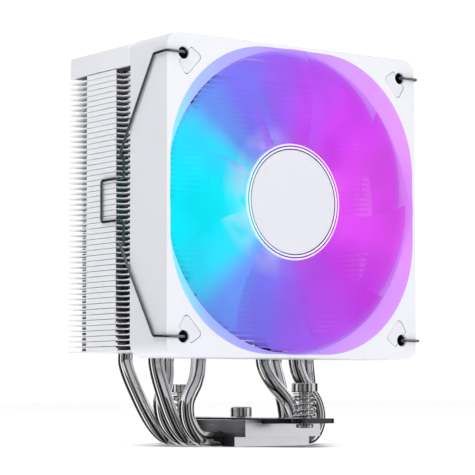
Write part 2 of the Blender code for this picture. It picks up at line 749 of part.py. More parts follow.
def make_base_block():
    """T-shaped block: a wide body over a narrower foot, grooved underneath for the pipes."""
    body = box_mesh("base_block", (-BASE_HALF_X, -BASE_HALF_Y, FOOT_HEIGHT),
                    (BASE_HALF_X, BASE_HALF_Y, BASE_TOP_Z))
    block = place("base_block", body, ALUMINIUM)
    inset = 0.02 * MM
    foot = box_mesh("foot", (-BASE_HALF_X + inset, -FOOT_HALF_Y, 0),
                    (BASE_HALF_X - inset, FOOT_HALF_Y, FOOT_HEIGHT + 1 * MM))
    join(block, "foot", foot)
    channel = box_mesh("bar_channel", (-BAR_HALF_X - GAP, -BASE_HALF_Y - 1 * MM, BAR_BOTTOM_Z - GAP),
                       (BAR_HALF_X + GAP, BASE_HALF_Y + 1 * MM, BASE_TOP_Z + 1 * MM))
    cut(block, "bar_channel", channel)
    for index in range(len(LEG_Y)):
        y = base_pipe_y(index)
        reach = BASE_HALF_X + 1 * MM
        groove = cylinder_mesh("groove", PIPE_RADIUS + GAP + 0.1 * MM, (-reach, y, PIPE_CENTRE_Z),
                               (reach, y, PIPE_CENTRE_Z), 16)
        cut(block, "groove_%d" % (index + 1), groove)
    tapped = cylinder_mesh("tapped_hole", CENTRE_SHANK_RADIUS + GAP, (0, 0, 6.8 * MM),
                           (0, 0, BAR_BOTTOM_Z + 1 * MM), 16)
    cut(block, "tapped_hole", tapped)


# ---------------------------------------------------------------- mounting bar and screws

def make_mounting_bar():
    outline = rounded_outline(rectangle(BAR_HALF_X, BAR_HALF_Y), [BAR_CORNER] * 4, steps=5)
    holes = [circle(SCREW_RADIUS + GAP, 16, (0, y)) for y in (-SCREW_Y, SCREW_Y)]
    holes.append(circle(CENTRE_SHANK_RADIUS + GAP, 16))
    curve = outline_curve("mounting_bar", [outline] + holes, BAR_THICKNESS)
    lift = Matrix.Translation((0, 0, BAR_BOTTOM_Z + BAR_THICKNESS / 2))
    place("mounting_bar", curve_to_mesh("mounting_bar", curve, lift), BLACK_STEEL)


def make_centre_screw():
    low, top = BAR_TOP_Z + GAP, BAR_TOP_Z + GAP + CENTRE_HEAD_HEIGHT
    chamfer = 0.35 * MM
    profile = [(0, top), (CENTRE_HEAD_RADIUS - chamfer, top), (CENTRE_HEAD_RADIUS, top - chamfer),
               (CENTRE_HEAD_RADIUS, low), (CENTRE_SHANK_RADIUS, low), (CENTRE_SHANK_RADIUS, 7.1 * MM),
               (0, 7.1 * MM)]
    turned("centre_screw", profile, NICKEL, (0, 0, 0), 24)


def make_spring_screw(place_name, y):
    head_low = SCREW_TOP_Z - SCREW_HEAD_HEIGHT
    profile = [(0, SCREW_TOP_Z), (SCREW_HEAD_RADIUS - SCREW_CHAMFER, SCREW_TOP_Z),
               (SCREW_HEAD_RADIUS, SCREW_TOP_Z - SCREW_CHAMFER), (SCREW_HEAD_RADIUS, head_low),
               (SCREW_RADIUS, head_low), (SCREW_RADIUS, SCREW_END_Z), (0, SCREW_END_Z)]
    screw = turned(place_name + "_spring_screw", profile, NICKEL, (0, y, 0), 20)
    slot = box_mesh("slot", (-SLOT_LENGTH / 2, -SLOT_WIDTH / 2, SCREW_TOP_Z - SLOT_DEPTH),
                    (SLOT_LENGTH / 2, SLOT_WIDTH / 2, SCREW_TOP_Z + SLOT_DEPTH))
    for index in range(2):
        arm = cutter("%s_slot_%d" % (place_name, index + 1), slot)
        arm.location.y = y
        arm.rotation_euler.z = math.radians(90 * index)
        boolean(screw, arm, "DIFFERENCE")
    washer_high = head_low - GAP
    washer_low = washer_high - WASHER_THICKNESS
    washer = ring_profile(SCREW_RADIUS + GAP, WASHER_RADIUS, washer_low, washer_high)
    turned(place_name + "_washer", washer, STEEL, (0, y, 0), 20)
    ring = ring_profile(SCREW_RADIUS + GAP, RING_RADIUS, RING_LOW_Z, BAR_BOTTOM_Z - GAP)
    turned(place_name + "_retaining_ring", ring, STEEL, (0, y, 0), 16)
    make_spring(place_name + "_spring", y, BAR_TOP_Z + GAP, washer_low - GAP)


def make_spring(name, y, low, high):
    """A compression spring standing on the bar, with its axis on the screw's."""
    start, end = low + SPRING_WIRE_RADIUS, high - SPRING_WIRE_RADIUS
    count = SPRING_TURNS * SPRING_STEPS
    path = []
    for step in range(count + 1):
        turn = step / SPRING_STEPS
        angle = 2 * math.pi * turn
        share = min(1, max(0, (turn - 0.5) / (SPRING_TURNS - 1)))
        path.append((SPRING_RADIUS * math.cos(angle), SPRING_RADIUS * math.sin(angle),
                     start + (end - start) * share))
    obj = place(name, wire_curve(name, path, SPRING_WIRE_RADIUS, 1), SPRING_STEEL, (0, y, 0))
    return obj


# ---------------------------------------------------------------- wire clips

def clip_path(side):
    """One wire clip, symmetric about the fan's axis: a pin in each corner hole, a leg down to a hook
    in front of the fin wall, and a loop between the hooks to pull it off by."""
    hole = HOLE_PITCH / 2
    front_y = fan_y(-GAP - WIRE_RADIUS)
    upper = [(hole, fan_y(PIN_DEPTH), hole), (hole, front_y, hole), (WIRE_SIDE_X, front_y, hole),
             (WIRE_SIDE_X, fan_y(LEG_TOP_DEPTH), LEG_TOP_Z), (WIRE_SIDE_X, fan_y(LEG_END_DEPTH), HOOK_Z),
             (HOOK_X, HOOK_Y, HOOK_Z), (HOOK_X, HOOK_Y, LOOP_Z), (WIRE_SIDE_X, HOOK_Y, LOOP_Z),
             (WIRE_SIDE_X, fan_y(LOOP_DEPTH), LOOP_Z)]
    lower = [(x, y, -z) for x, y, z in reversed(upper)]
    return [(side * x, y, FAN_AXIS_Z + z) for x, y, z in upper + lower]


def make_clips():
    for name, side in (("left", -1), ("right", 1)):
        path = bent_path(clip_path(side), WIRE_BEND)
        pivot = Vector((side * HOLE_PITCH / 2, FAN_FRONT_Y, FAN_AXIS_Z))
        local = [point - pivot for point in path]
        place("fan_clip_" + name, wire_curve("fan_clip_" + name, local, WIRE_RADIUS, 1), DARK_WIRE, pivot)


# ---------------------------------------------------------------- the whole cooler

clear_scene()
PARTS = collection("cpu_tower_cooler")
CUTTERS = collection("cutters")
CORNERS = {"upper_left": (-1, 1), "upper_right": (1, 1), "lower_left": (-1, -1), "lower_right": (1, -1)}

WHITE_PLASTIC = material("white_plastic", (0.86, 0.86, 0.89), 0.45)
WHITE_RUBBER = material("white_rubber", (0.80, 0.80, 0.83), 0.7)
WHITE_TRANSLUCENT = material("white_translucent", (0.75, 0.72, 0.95), 0.35)
WHITE_PAINT = material("white_paint", (0.84, 0.84, 0.87), 0.4)
SATIN_SILVER = material("satin_silver", (0.80, 0.80, 0.84), 0.35, 0.4)
DARK_MAGNET = material("dark_magnet", (0.06, 0.06, 0.065), 0.6)
STEEL = material("steel", (0.62, 0.62, 0.64), 0.3, 1.0)
BRASS = material("brass", (0.78, 0.60, 0.28), 0.35, 1.0)
COPPER = material("copper", (0.72, 0.36, 0.18), 0.35, 1.0)
GREEN_BOARD = material("green_board", (0.04, 0.20, 0.10), 0.5)
NICKEL = material("nickel", (0.80, 0.79, 0.78), 0.12, 1.0)
ALUMINIUM = material("aluminium", (0.75, 0.75, 0.78), 0.35, 1.0)
BLACK_STEEL = material("black_steel", (0.12, 0.12, 0.13), 0.35, 0.8)
SPRING_STEEL = material("spring_steel", (0.45, 0.45, 0.47), 0.2, 1.0)
DARK_WIRE = material("dark_wire", (0.16, 0.16, 0.18), 0.25, 1.0)

make_fan_frame()
make_corner_pads()
make_impeller()
make_rotor_pieces()
make_motor()
make_fin_groups()
make_top_cover()
make_heat_pipes()
make_base_block()
make_mounting_bar()
make_centre_screw()
make_spring_screw("front", -SCREW_Y)
make_spring_screw("rear", SCREW_Y)
make_clips()
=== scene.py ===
"""Looks for the processor tower cooler. Metres, +Z up, fan on the -Y side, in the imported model's frame."""
import math

import bmesh
import bpy
from mathutils import Matrix, Vector


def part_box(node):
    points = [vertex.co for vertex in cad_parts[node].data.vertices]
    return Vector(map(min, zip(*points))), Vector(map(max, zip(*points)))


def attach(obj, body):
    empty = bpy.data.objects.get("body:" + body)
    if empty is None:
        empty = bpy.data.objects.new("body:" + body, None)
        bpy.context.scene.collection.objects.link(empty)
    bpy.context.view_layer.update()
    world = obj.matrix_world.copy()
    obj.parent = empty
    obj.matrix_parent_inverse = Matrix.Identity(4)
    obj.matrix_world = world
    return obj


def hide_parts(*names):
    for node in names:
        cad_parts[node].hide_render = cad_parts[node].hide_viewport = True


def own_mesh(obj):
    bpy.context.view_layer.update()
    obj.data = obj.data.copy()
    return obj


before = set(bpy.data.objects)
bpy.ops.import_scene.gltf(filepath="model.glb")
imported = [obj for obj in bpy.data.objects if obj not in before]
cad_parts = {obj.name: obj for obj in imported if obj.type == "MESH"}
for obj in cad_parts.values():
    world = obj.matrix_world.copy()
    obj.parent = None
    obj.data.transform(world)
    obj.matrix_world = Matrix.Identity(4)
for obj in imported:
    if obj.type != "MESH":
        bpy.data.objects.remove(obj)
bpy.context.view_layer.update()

MM = 0.001
scene = bpy.context.scene

# ---------------------------------------------------------------- places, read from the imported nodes

fan_low, fan_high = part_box("fan_frame")
FRONT_Y = fan_low.y
FAN_DEPTH = fan_high.y - fan_low.y
AXIS_Z = (fan_low.z + fan_high.z) / 2
FAN_HALF = (fan_high.x - fan_low.x) / 2
HOLE_HALF = FAN_HALF * 0.875
HOLE_RADIUS = 2.2 * MM
DUCT_RADIUS = 58.3 * MM
MOUTH_HALF = 58.5 * MM
MOUTH_CORNER = 45.2 * MM
FLARE_DEPTH = 4.2 * MM
HUB_RADIUS = 22.5 * MM
TIP_RADIUS = 57.2 * MM
BLADES = 9
BLADE_FRONT = 2.9 * MM
BLADE_SWEEP = math.radians(14)
BLADE_CAMBER = 1.5 * MM
ROOT_CHORD, CHORD_TAPER = 64, 8
ROOT_REACH, REACH_TAPER = 14.0, 6.0
RIM_THICKNESS, SWELL, TIP_THINNING = 0.28, 1.5, 0.35
GROOVE_INNER, GROOVE_OUTER = 21.26 * MM, 21.74 * MM
SEAT_RADIUS = 20.56 * MM
STRUT_HALF, STRUT_DEPTH = 2.4 * MM, 1.5 * MM
PIPE_RADIUS = 3.0 * MM
PIPE_SPACING = 7.0 * MM
PIPE_BASE_Z = 2.7 * MM
INNER_LEG_X = 23.6 * MM
LEG_SPREAD_Z = 31 * MM
FIN_NODES = ["fin_group_%02d" % index for index in range(1, 14)]
FINS_PER_NODE = 4
FIN_THICKNESS = 0.42 * MM
stack_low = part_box(FIN_NODES[0])[0]
stack_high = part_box(FIN_NODES[-1])[1]
NODE_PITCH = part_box(FIN_NODES[1])[0].z - stack_low.z
FIN_PITCH = NODE_PITCH / FINS_PER_NODE
STACK_HALF = stack_high.x
STACK_FRONT, STACK_REAR = stack_low.y, stack_high.y
WALL_FRONT, WALL_REAR = -1.56 * MM, 19.3 * MM
TAB_INNER, TAB_OUTER = 45 * MM, 53.8 * MM
NOTCH_FRONT, NOTCH_DEPTH = -8.1 * MM, 3.5 * MM
LIP_INSET = 1.4 * MM
COVER_WALL, COVER_EDGE = 1.5 * MM, 1.3 * MM
FOOT_HALF_Y, FOOT_HEIGHT = 20.4 * MM, 3.7 * MM
SCREW_Y = 40.8 * MM
SCREW_HEAD_HEIGHT = 3.5 * MM
SPRING_RADIUS, SPRING_WIRE = 3.9 * MM, 0.5 * MM
SPRING_TURNS, SPRING_STEPS = 4.5, 28
CLIP_WIRE, CLIP_BEND = 0.55 * MM, 1.3 * MM


def fan_y(depth):
    """Y of a point some millimetres behind the fan's front face."""
    return FRONT_Y + depth * MM


# ---------------------------------------------------------------- materials

def srgb(red, green, blue):
    """Linear colour from 0 to 255 display values."""
    def linear(value):
        value /= 255
        return value / 12.92 if value <= 0.04045 else ((value + 0.055) / 1.055) ** 2.4
    return (linear(red), linear(green), linear(blue), 1.0)


def greys(stops):
    """Ramp stops from places and brightnesses."""
    return [(place, (value, value, value, 1)) for place, value in stops]


class Nodes:
    """A node tree with short ways to add the usual nodes."""

    def __init__(self, tree):
        self.tree = tree

    def node(self, kind, **settings):
        made = self.tree.nodes.new(kind)
        for key, value in settings.items():
            setattr(made, key, value)
        return made

    def link(self, source, target):
        self.tree.links.new(source, target)

    def put(self, value, socket):
        """A number or a colour goes on the socket itself; the output of a node is linked to it."""
        if isinstance(value, (int, float, tuple)):
            socket.default_value = value
        else:
            self.link(value, socket)

    def ramp(self, factor, stops, interpolation="LINEAR"):
        made = self.node("ShaderNodeValToRGB")
        ramp = made.color_ramp
        ramp.interpolation = interpolation
        while len(ramp.elements) < len(stops):
            ramp.elements.new(0.5)
        for element, (position, colour) in zip(ramp.elements, stops):
            element.position = position
            element.color = colour
        self.link(factor, made.inputs["Fac"])
        return made.outputs["Color"]

    def scaled(self, factor, low, high, source_low=0.3, source_high=0.7, interpolation="LINEAR"):
        made = self.node("ShaderNodeMapRange", interpolation_type=interpolation)
        for socket, value in zip(("From Min", "From Max", "To Min", "To Max"),
                                 (source_low, source_high, low, high)):
            made.inputs[socket].default_value = value
        self.link(factor, made.inputs["Value"])
        return made.outputs["Result"]

    def math(self, operation, *values):
        made = self.node("ShaderNodeMath", operation=operation)
        for socket, value in zip(made.inputs, values):
            self.put(value, socket)
        return made.outputs["Value"]

    def mix(self, factor, first, second, blend="MIX"):
        made = self.node("ShaderNodeMix", data_type="RGBA", blend_type=blend)
        for index, value in ((0, factor), (6, first), (7, second)):
            self.put(value, made.inputs[index])
        return made.outputs[2]

    def choose(self, factor, first, second):
        """The second shader where the factor is 1, otherwise the first."""
        made = self.node("ShaderNodeMixShader")
        for socket, source in zip(made.inputs, (factor, first, second)):
            self.link(source, socket)
        return made.outputs["Shader"]

    def split(self, vector):
        made = self.node("ShaderNodeSeparateXYZ")
        self.link(vector, made.inputs["Vector"])
        return made.outputs

    def around(self, parts):
        """Direction round the vertical, from 0 to 1."""
        turn = self.math("ARCTAN2", parts["Y"], parts["X"])
        return self.math("FRACT", self.math("DIVIDE", turn, 2 * math.pi))


class Finish(Nodes):
    """A material, with noise in the object's own space to vary it."""

    def __init__(self, name, **sockets):
        self.material = bpy.data.materials.new(name)
        self.material.use_nodes = True
        super().__init__(self.material.node_tree)
        self.shader = self.tree.nodes["Principled BSDF"]
        for socket, value in sockets.items():
            self.shader.inputs[socket.replace("_", " ").title().replace("Ior", "IOR")].default_value = value
        self.coords = self.node("ShaderNodeTexCoord").outputs["Object"]

    def stretched(self, scale):
        mapping = self.node("ShaderNodeMapping")
        mapping.inputs["Scale"].default_value = scale
        self.link(self.coords, mapping.inputs["Vector"])
        return mapping.outputs["Vector"]

    def noise(self, scale, detail=3.0, stretch=None, roughness=0.5):
        texture = self.node("ShaderNodeTexNoise")
        texture.inputs["Scale"].default_value = scale
        texture.inputs["Detail"].default_value = detail
        texture.inputs["Roughness"].default_value = roughness
        source = self.stretched(stretch) if stretch else self.coords
        self.link(source, texture.inputs["Vector"])
        return texture.outputs["Fac"]

    def bump(self, height, strength, distance):
        made = self.node("ShaderNodeBump")
        made.inputs["Strength"].default_value = strength
        made.inputs["Distance"].default_value = distance
        self.link(height, made.inputs["Height"])
        return made.outputs["Normal"]

    def into(self, socket, source):
        self.link(source, self.shader.inputs[socket])


def moulded(name, light, dark, roughness, grain=0.05, grain_scale=2600):
    """Moulded plastic: a fine sparked grain, faint flow marks in the colour and a varying sheen."""
    finish = Finish(name, specular_ior_level=0.45)
    flow = finish.noise(14, 4)
    speckle = finish.noise(900, 2)
    colour = finish.mix(finish.scaled(flow, 0, 1), dark, light)
    tint = finish.scaled(speckle, 0.985, 1.0)
    finish.into("Base Color", finish.mix(1.0, colour, tint, "MULTIPLY"))
    finish.into("Roughness", finish.scaled(finish.noise(60, 3), roughness - 0.05, roughness + 0.06))
    finish.into("Normal", finish.bump(finish.noise(grain_scale, 3), grain, 0.00006))
    return finish.material


def metal(name, light, dark, low_rough, high_rough, stretch, scale, bump=0.05, patch=40, bands=None):
    """Metal with drawn or machined lines, and a tarnish that varies over broad patches. Bands are
    (turn, brightness) stops of painted reflection: dark stripes that follow the way the surface faces round
    the vertical."""
    finish = Finish(name, metallic=1.0)
    lines = finish.noise(scale, 5, stretch, 0.6)
    patches = finish.noise(patch, 3)
    base = finish.mix(finish.scaled(patches, 0, 1), dark, light)
    streak = finish.scaled(lines, 0.9, 1.0)
    colour = finish.mix(1.0, base, streak, "MULTIPLY")
    if bands:
        facing = finish.split(finish.node("ShaderNodeNewGeometry").outputs["Normal"])
        colour = finish.mix(1.0, colour, finish.ramp(finish.around(facing), greys(bands)), "MULTIPLY")
    finish.into("Base Color", colour)
    wear = finish.mix(0.5, lines, patches)
    finish.into("Roughness", finish.scaled(wear, low_rough, high_rough, 0.35, 0.65))
    finish.into("Normal", finish.bump(lines, bump, 0.00005))
    return finish.material


def glow_colour(finish):
    """The light ring's colours seen through plastic: they change with the direction from the fan's
    axis, from one side to the other, and stay put while the rotor turns."""
    place = finish.split(finish.node("ShaderNodeNewGeometry").outputs["Position"])
    across = place["X"]
    above = finish.math("SUBTRACT", place["Z"], AXIS_Z)
    squares = finish.math("MULTIPLY_ADD", across, across, finish.math("MULTIPLY", above, above))
    radius = finish.math("SQRT", finish.math("ADD", squares, 1e-7))
    side = finish.math("DIVIDE", across, radius)
    raised = finish.math("MULTIPLY_ADD", finish.math("DIVIDE", above, radius), 0.035, 0.5)
    factor = finish.math("MULTIPLY_ADD", side, 0.5, raised)
    return finish.ramp(factor, GLOW, "EASE"), radius, across


GLOW = [(0.0, srgb(8, 236, 255)), (0.06, srgb(44, 222, 255)), (0.16, srgb(110, 154, 253)),
        (0.30, srgb(128, 122, 251)), (0.5, srgb(162, 98, 248)), (0.68, srgb(190, 82, 246)),
        (0.86, srgb(208, 66, 243)), (1.0, srgb(226, 78, 247))]


def glowing(name, strength, base, roughness, alpha=1.0, root_glow=0.0, wash=0.0, tip_alpha=1.0):
    """Milky plastic lit from the hub: brightest at the root, with a slow mottle of painted shade across the
    glow along the blade.
    """
    finish = Finish(name, roughness=roughness, alpha=alpha, specular_ior_level=0.12)
    colour, radius, across = glow_colour(finish)
    if wash:
        colour = finish.mix(wash, colour, (0.93, 0.90, 1.0, 1.0))
    if root_glow:
        near = finish.scaled(radius, root_glow, 0.0, HUB_RADIUS, HUB_RADIUS + 9 * MM)
        leftward = finish.scaled(across, 1.0, 0.12, -0.012, 0.006)
        spots = finish.scaled(finish.noise(95, 1), 0.2, 1.0, 0.38, 0.62)
        share = finish.math("MULTIPLY", finish.math("MULTIPLY", near, leftward), spots)
        colour = finish.mix(share, colour, srgb(226, 226, 255))
    if tip_alpha < alpha:
        finish.into("Alpha", finish.scaled(radius, alpha, tip_alpha, TIP_RADIUS - 4 * MM, TIP_RADIUS))
    # Painted shade: slow noise darkens the glow, like the shading of the moving blades.
    glow_shade = finish.scaled(finish.noise(26, 2), 0.82, 1.04, 0.36, 0.64)
    shaded = finish.mix(1.0, colour, glow_shade, "MULTIPLY")
    finish.into("Emission Color", shaded)
    finish.shader.inputs["Emission Strength"].default_value = strength
    finish.into("Base Color", finish.mix(1.0, colour, base, "MULTIPLY"))
    finish.into("Normal", finish.bump(finish.noise(700, 3), 0.04, 0.00005))
    return finish.material


def milky(name):
    """White plastic of the hub, which picks up only a little of the light ring's colour and glows faintly
    with that tint as painted light.
    """
    finish = Finish(name, specular_ior_level=0.45)
    tint = finish.mix(0.30, (0.93, 0.93, 0.97, 1.0), glow_colour(finish)[0])
    finish.into("Base Color", tint)
    # Painted glow: the hub's white, tinted by the light ring, is also emitted.
    finish.into("Emission Color", tint)
    finish.shader.inputs["Emission Strength"].default_value = 0.22
    finish.into("Roughness", finish.scaled(finish.noise(60, 3), 0.26, 0.36))
    finish.into("Normal", finish.bump(finish.noise(1800, 3), 0.05, 0.00005))
    return finish.material


WHITE_FRAME = moulded("frame_white", srgb(240, 241, 246), srgb(236, 237, 243), 0.42)
WHITE_COVER = moulded("cover_white", srgb(248, 249, 253), srgb(243, 244, 250), 0.40)
WHITE_PAD = moulded("pad_white", srgb(236, 237, 242), srgb(229, 230, 236), 0.62, 0.10, 1500)
FIN_WHITE = moulded("fin_white", srgb(252, 253, 255), srgb(246, 247, 252), 0.38, 0.06, 1800)
CAP_SILVER = moulded("cap_silver", srgb(232, 233, 240), srgb(227, 228, 235), 0.34, 0.05, 3200)
# Painted shade: dark plastic for the insides of the screw holes and the seat under the hub cap, where only
# shade falls.
RECESS_SHADE = moulded("hole_shadow", srgb(46, 46, 52), srgb(32, 32, 38), 0.7, 0.1, 900)
GROOVE_LIT = glowing("groove_lit", 0.42, (0.10, 0.10, 0.11, 1.0), 0.5)
DUCT_LIT = glowing("duct_lit", 0.34, (0.72, 0.72, 0.76, 1.0), 0.42, wash=0.32)
HUB_WHITE = milky("hub_milky")
BLADE_GLOW = glowing("blade_glow", 1.0, (0.02, 0.02, 0.02, 1.0), 0.55, 0.78, 0.42, tip_alpha=0.35)
RING_GLOW = glowing("ring_glow", 1.4, (0.25, 0.25, 0.25, 1.0), 0.5)
# Painted reflection on the heat pipes: dark streaks set by the way each part faces round the vertical.
PIPE_PAINTED_REFLECTION = [(0.0, 1.0), (0.12, 1.0), (0.135, 0.2), (0.16, 0.2), (0.175, 1.0), (0.43, 1.0), (0.445, 0.15),
              (0.465, 0.15), (0.48, 1.0), (0.60, 1.0), (0.612, 0.1), (0.642, 0.1), (0.655, 0.75),
              (0.735, 0.75), (0.743, 0.12), (0.758, 0.12), (0.768, 1.0), (0.92, 1.0)]
NICKEL = metal("nickel", (0.95, 0.945, 0.94, 1), (0.90, 0.895, 0.89, 1), 0.02, 0.06,
               (1, 1, 0.12), 500, 0.02, bands=PIPE_PAINTED_REFLECTION)
SCREW_METAL = metal("screw_plating", (0.82, 0.81, 0.81, 1), (0.68, 0.67, 0.68, 1), 0.12, 0.2,
                    (1, 1, 6), 400, 0.03)
SPRING_METAL = metal("spring_wire", (0.85, 0.85, 0.86, 1), (0.72, 0.72, 0.73, 1), 0.05, 0.12,
                     (1, 1, 1), 900, 0.03)
BASE_METAL = metal("base_milled", (0.82, 0.82, 0.85, 1), (0.79, 0.79, 0.82, 1), 0.22, 0.28,
                   (0.06, 1, 1), 900, 0.02)
# A darker copy of the milled metal, with sawn lines, for the block's end faces: the darkness is painted
# shade, as these faces turn from the light.
BASE_END_SHADE = metal("base_sawn_end_painted_shade", (0.30, 0.30, 0.32, 1), (0.24, 0.24, 0.26, 1), 0.26, 0.34,
                 (1, 0.06, 1), 900, 0.02)
BAR_METAL = metal("bar_black_nickel", (0.075, 0.075, 0.08, 1), (0.05, 0.05, 0.053, 1), 0.16, 0.26,
                  (1, 0.1, 1), 500)
WIRE_METAL = metal("wire_black_nickel", (0.30, 0.30, 0.31, 1), (0.20, 0.20, 0.21, 1), 0.14, 0.24,
                   (1, 1, 0.2), 900)
STEEL = metal("turned_steel", (0.66, 0.66, 0.67, 1), (0.56, 0.56, 0.57, 1), 0.18, 0.30, (1, 6, 1), 500)
BRASS = metal("bearing_brass", (0.80, 0.62, 0.30, 1), (0.66, 0.48, 0.22, 1), 0.20, 0.34, (1, 6, 1), 500)
COPPER = metal("winding_copper", (0.78, 0.40, 0.22, 1), (0.60, 0.26, 0.13, 1), 0.22, 0.36,
               (1, 14, 1), 260, 0.5)
MAGNET = moulded("magnet_ferrite", srgb(62, 62, 66), srgb(48, 48, 52), 0.70, 0.15, 900)
BOARD = moulded("board_green", srgb(38, 108, 70), srgb(28, 88, 56), 0.36, 0.05, 900)


# ---------------------------------------------------------------- mesh tools

def face_led(mesh, sharp):
    """Smooth shading led by the big faces, so that only the rounded edges curve."""
    mesh.shade_smooth()
    mesh.set_sharp_from_angle(angle=math.radians(sharp))
    obj = guide("face_led", mesh)
    weighted = obj.modifiers.new("weighted", "WEIGHTED_NORMAL")
    weighted.keep_sharp = True
    return baked(obj)


def finished(name, mesh, material, body, node=None, sharp=35, location=(0, 0, 0)):
    """A piece from a mesh: smooth shading, its finish, the body it rides on and the node it stands for."""
    mesh = face_led(mesh, sharp)
    obj = bpy.data.objects.new(name, mesh)
    obj.location = location
    scene.collection.objects.link(obj)
    mesh.materials.clear()
    mesh.materials.append(material)
    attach(obj, body)
    if node:
        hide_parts(node)
    return obj


def to_mesh(name, work):
    bmesh.ops.recalc_face_normals(work, faces=work.faces)
    mesh = bpy.data.meshes.new(name)
    work.to_mesh(mesh)
    work.free()
    return mesh


def baked(obj):
    """The mesh of an object with its modifiers applied; the object itself goes."""
    bpy.context.view_layer.update()
    mesh = bpy.data.meshes.new_from_object(obj.evaluated_get(bpy.context.evaluated_depsgraph_get()))
    mesh.name = obj.name
    bpy.data.objects.remove(obj, do_unlink=True)
    return mesh


def guide(name, data):
    obj = bpy.data.objects.new(name, data)
    scene.collection.objects.link(obj)
    return obj


def transformed(mesh, matrix):
    mesh.transform(matrix)
    if matrix.determinant() < 0:
        mesh.flip_normals()
    return mesh


def block(low, high, edge=0.0, steps=2):
    """A box between two corners, its edges rounded."""
    low, high = Vector(low), Vector(high)
    work = bmesh.new()
    matrix = Matrix.Translation((low + high) / 2) @ Matrix.Diagonal((*(high - low), 1))
    bmesh.ops.create_cube(work, size=1, matrix=matrix)
    if edge:
        bmesh.ops.bevel(work, geom=work.edges[:], offset=edge, segments=steps, profile=0.5, affect="EDGES")
    return to_mesh("block", work)


def circle(radius, count, centre=(0, 0), start=0.0):
    return [(centre[0] + radius * math.cos(start + 2 * math.pi * i / count),
             centre[1] + radius * math.sin(start + 2 * math.pi * i / count)) for i in range(count)]


def rounded(corners, radii, steps=8):
    """A closed outline whose corners are arcs."""
    points = []
    for index, (corner, radius) in enumerate(zip(corners, radii)):
        here = Vector(corner)
        back = (Vector(corners[index - 1]) - here).normalized()
        ahead = (Vector(corners[(index + 1) % len(corners)]) - here).normalized()
        half = math.acos(max(-1, min(1, back.dot(ahead)))) / 2
        centre = here + (back + ahead).normalized() * radius / math.sin(half)
        first = here + back * radius / math.tan(half) - centre
        last = here + ahead * radius / math.tan(half) - centre
        for step in range(steps + 1):
            points.append(tuple(centre + first.lerp(last, step / steps).normalized() * radius))
    return points


def rectangle(half_x, half_y):
    return [(-half_x, -half_y), (half_x, -half_y), (half_x, half_y), (-half_x, half_y)]


def plate(outlines, thickness, edge=0.0, steps=3):
    """A flat plate in XY, centred on Z, with rounded rims; the later outlines are its holes."""
    curve = bpy.data.curves.new("plate", "CURVE")
    curve.dimensions = "2D"
    curve.fill_mode = "BOTH"
    curve.extrude = thickness / 2 - edge
    curve.bevel_depth = edge
    curve.bevel_resolution = steps - 1 if edge else 0
    curve.offset = -edge
    for outline in outlines:
        spline = curve.splines.new("POLY")
        spline.points.add(len(outline) - 1)
        spline.use_cyclic_u = True
        for point, (x, y) in zip(spline.points, outline):
            point.co = (x, y, 0, 1)
    mesh = baked(guide("plate", curve))
    work = bmesh.new()
    work.from_mesh(mesh)
    bmesh.ops.remove_doubles(work, verts=work.verts, dist=1e-6)
    return to_mesh("plate", work)


def lathe(profile, segments=96, closed=True):
    """A body turned about Z from (radius, height) points; an open profile starts and ends on the axis."""
    work = bmesh.new()
    rings = []
    for radius, height in profile:
        if radius < 1e-9:
            rings.append([work.verts.new((0, 0, height))])
        else:
            rings.append([work.verts.new((x, y, height)) for x, y in circle(radius, segments)])
    pairs = list(zip(rings, rings[1:]))
    if closed:
        pairs.append((rings[-1], rings[0]))
    for one, other in pairs:
        for i in range(segments):
            j = (i + 1) % segments
            corners = [one[i % len(one)], one[j % len(one)], other[j % len(other)], other[i % len(other)]]
            corners = list(dict.fromkeys(corners))
            if len(corners) > 2:
                work.faces.new(corners)
    return to_mesh("lathe", work)


def fillet(profile, radius, steps=3):
    """Rounds each corner of a closed profile by a small radius."""
    return rounded(profile, [radius] * len(profile), steps)


def tube(path, radius, segments=16, round_ends=False):
    """A round bar along a path, its section carried along without twist."""
    path = [Vector(point) for point in path]
    directions = []
    for index in range(len(path)):
        back = path[index] - path[max(index - 1, 0)]
        ahead = path[min(index + 1, len(path) - 1)] - path[index]
        directions.append((back.normalized() + ahead.normalized()).normalized())
    normal = directions[0].orthogonal().normalized()
    sections = []
    for point, direction in zip(path, directions):
        normal = (normal - direction * normal.dot(direction)).normalized()
        sections.append((point, direction, normal.copy(), radius))
    if round_ends:
        for which, sign in ((0, -1), (-1, 1)):
            point, direction, side, _ = sections[which]
            ends = [(point + direction * sign * radius * math.sin(a), direction, side, radius * math.cos(a))
                    for a in (math.radians(30), math.radians(60), math.radians(80))]
            sections = ends[::-1] + sections if which == 0 else sections + ends
    work = bmesh.new()
    rings = []
    for point, direction, side, size in sections:
        other = direction.cross(side)
        rings.append([work.verts.new(point + side * x + other * y) for x, y in circle(size, segments)])
    for one, other in zip(rings, rings[1:]):
        for i in range(segments):
            j = (i + 1) % segments
            work.faces.new((one[i], one[j], other[j], other[i]))
    work.faces.new(rings[0])
    work.faces.new(rings[-1])
    return to_mesh("tube", work)


def bent_path(corners, radius, steps=6):
    """A path through corners, each rounded by an arc."""
    corners = [Vector(corner) for corner in corners]
    path = [corners[0]]
    for before, here, after in zip(corners, corners[1:], corners[2:]):
        back, ahead = (before - here).normalized(), (after - here).normalized()
        half = math.acos(max(-1, min(1, back.dot(ahead)))) / 2
        centre = here + (back + ahead).normalized() * radius / math.sin(half)
        first = here + back * radius / math.tan(half) - centre
        last = here + ahead * radius / math.tan(half) - centre
        for step in range(steps + 1):
            path.append(centre + first.lerp(last, step / steps).normalized() * radius)
    return path + [corners[-1]]


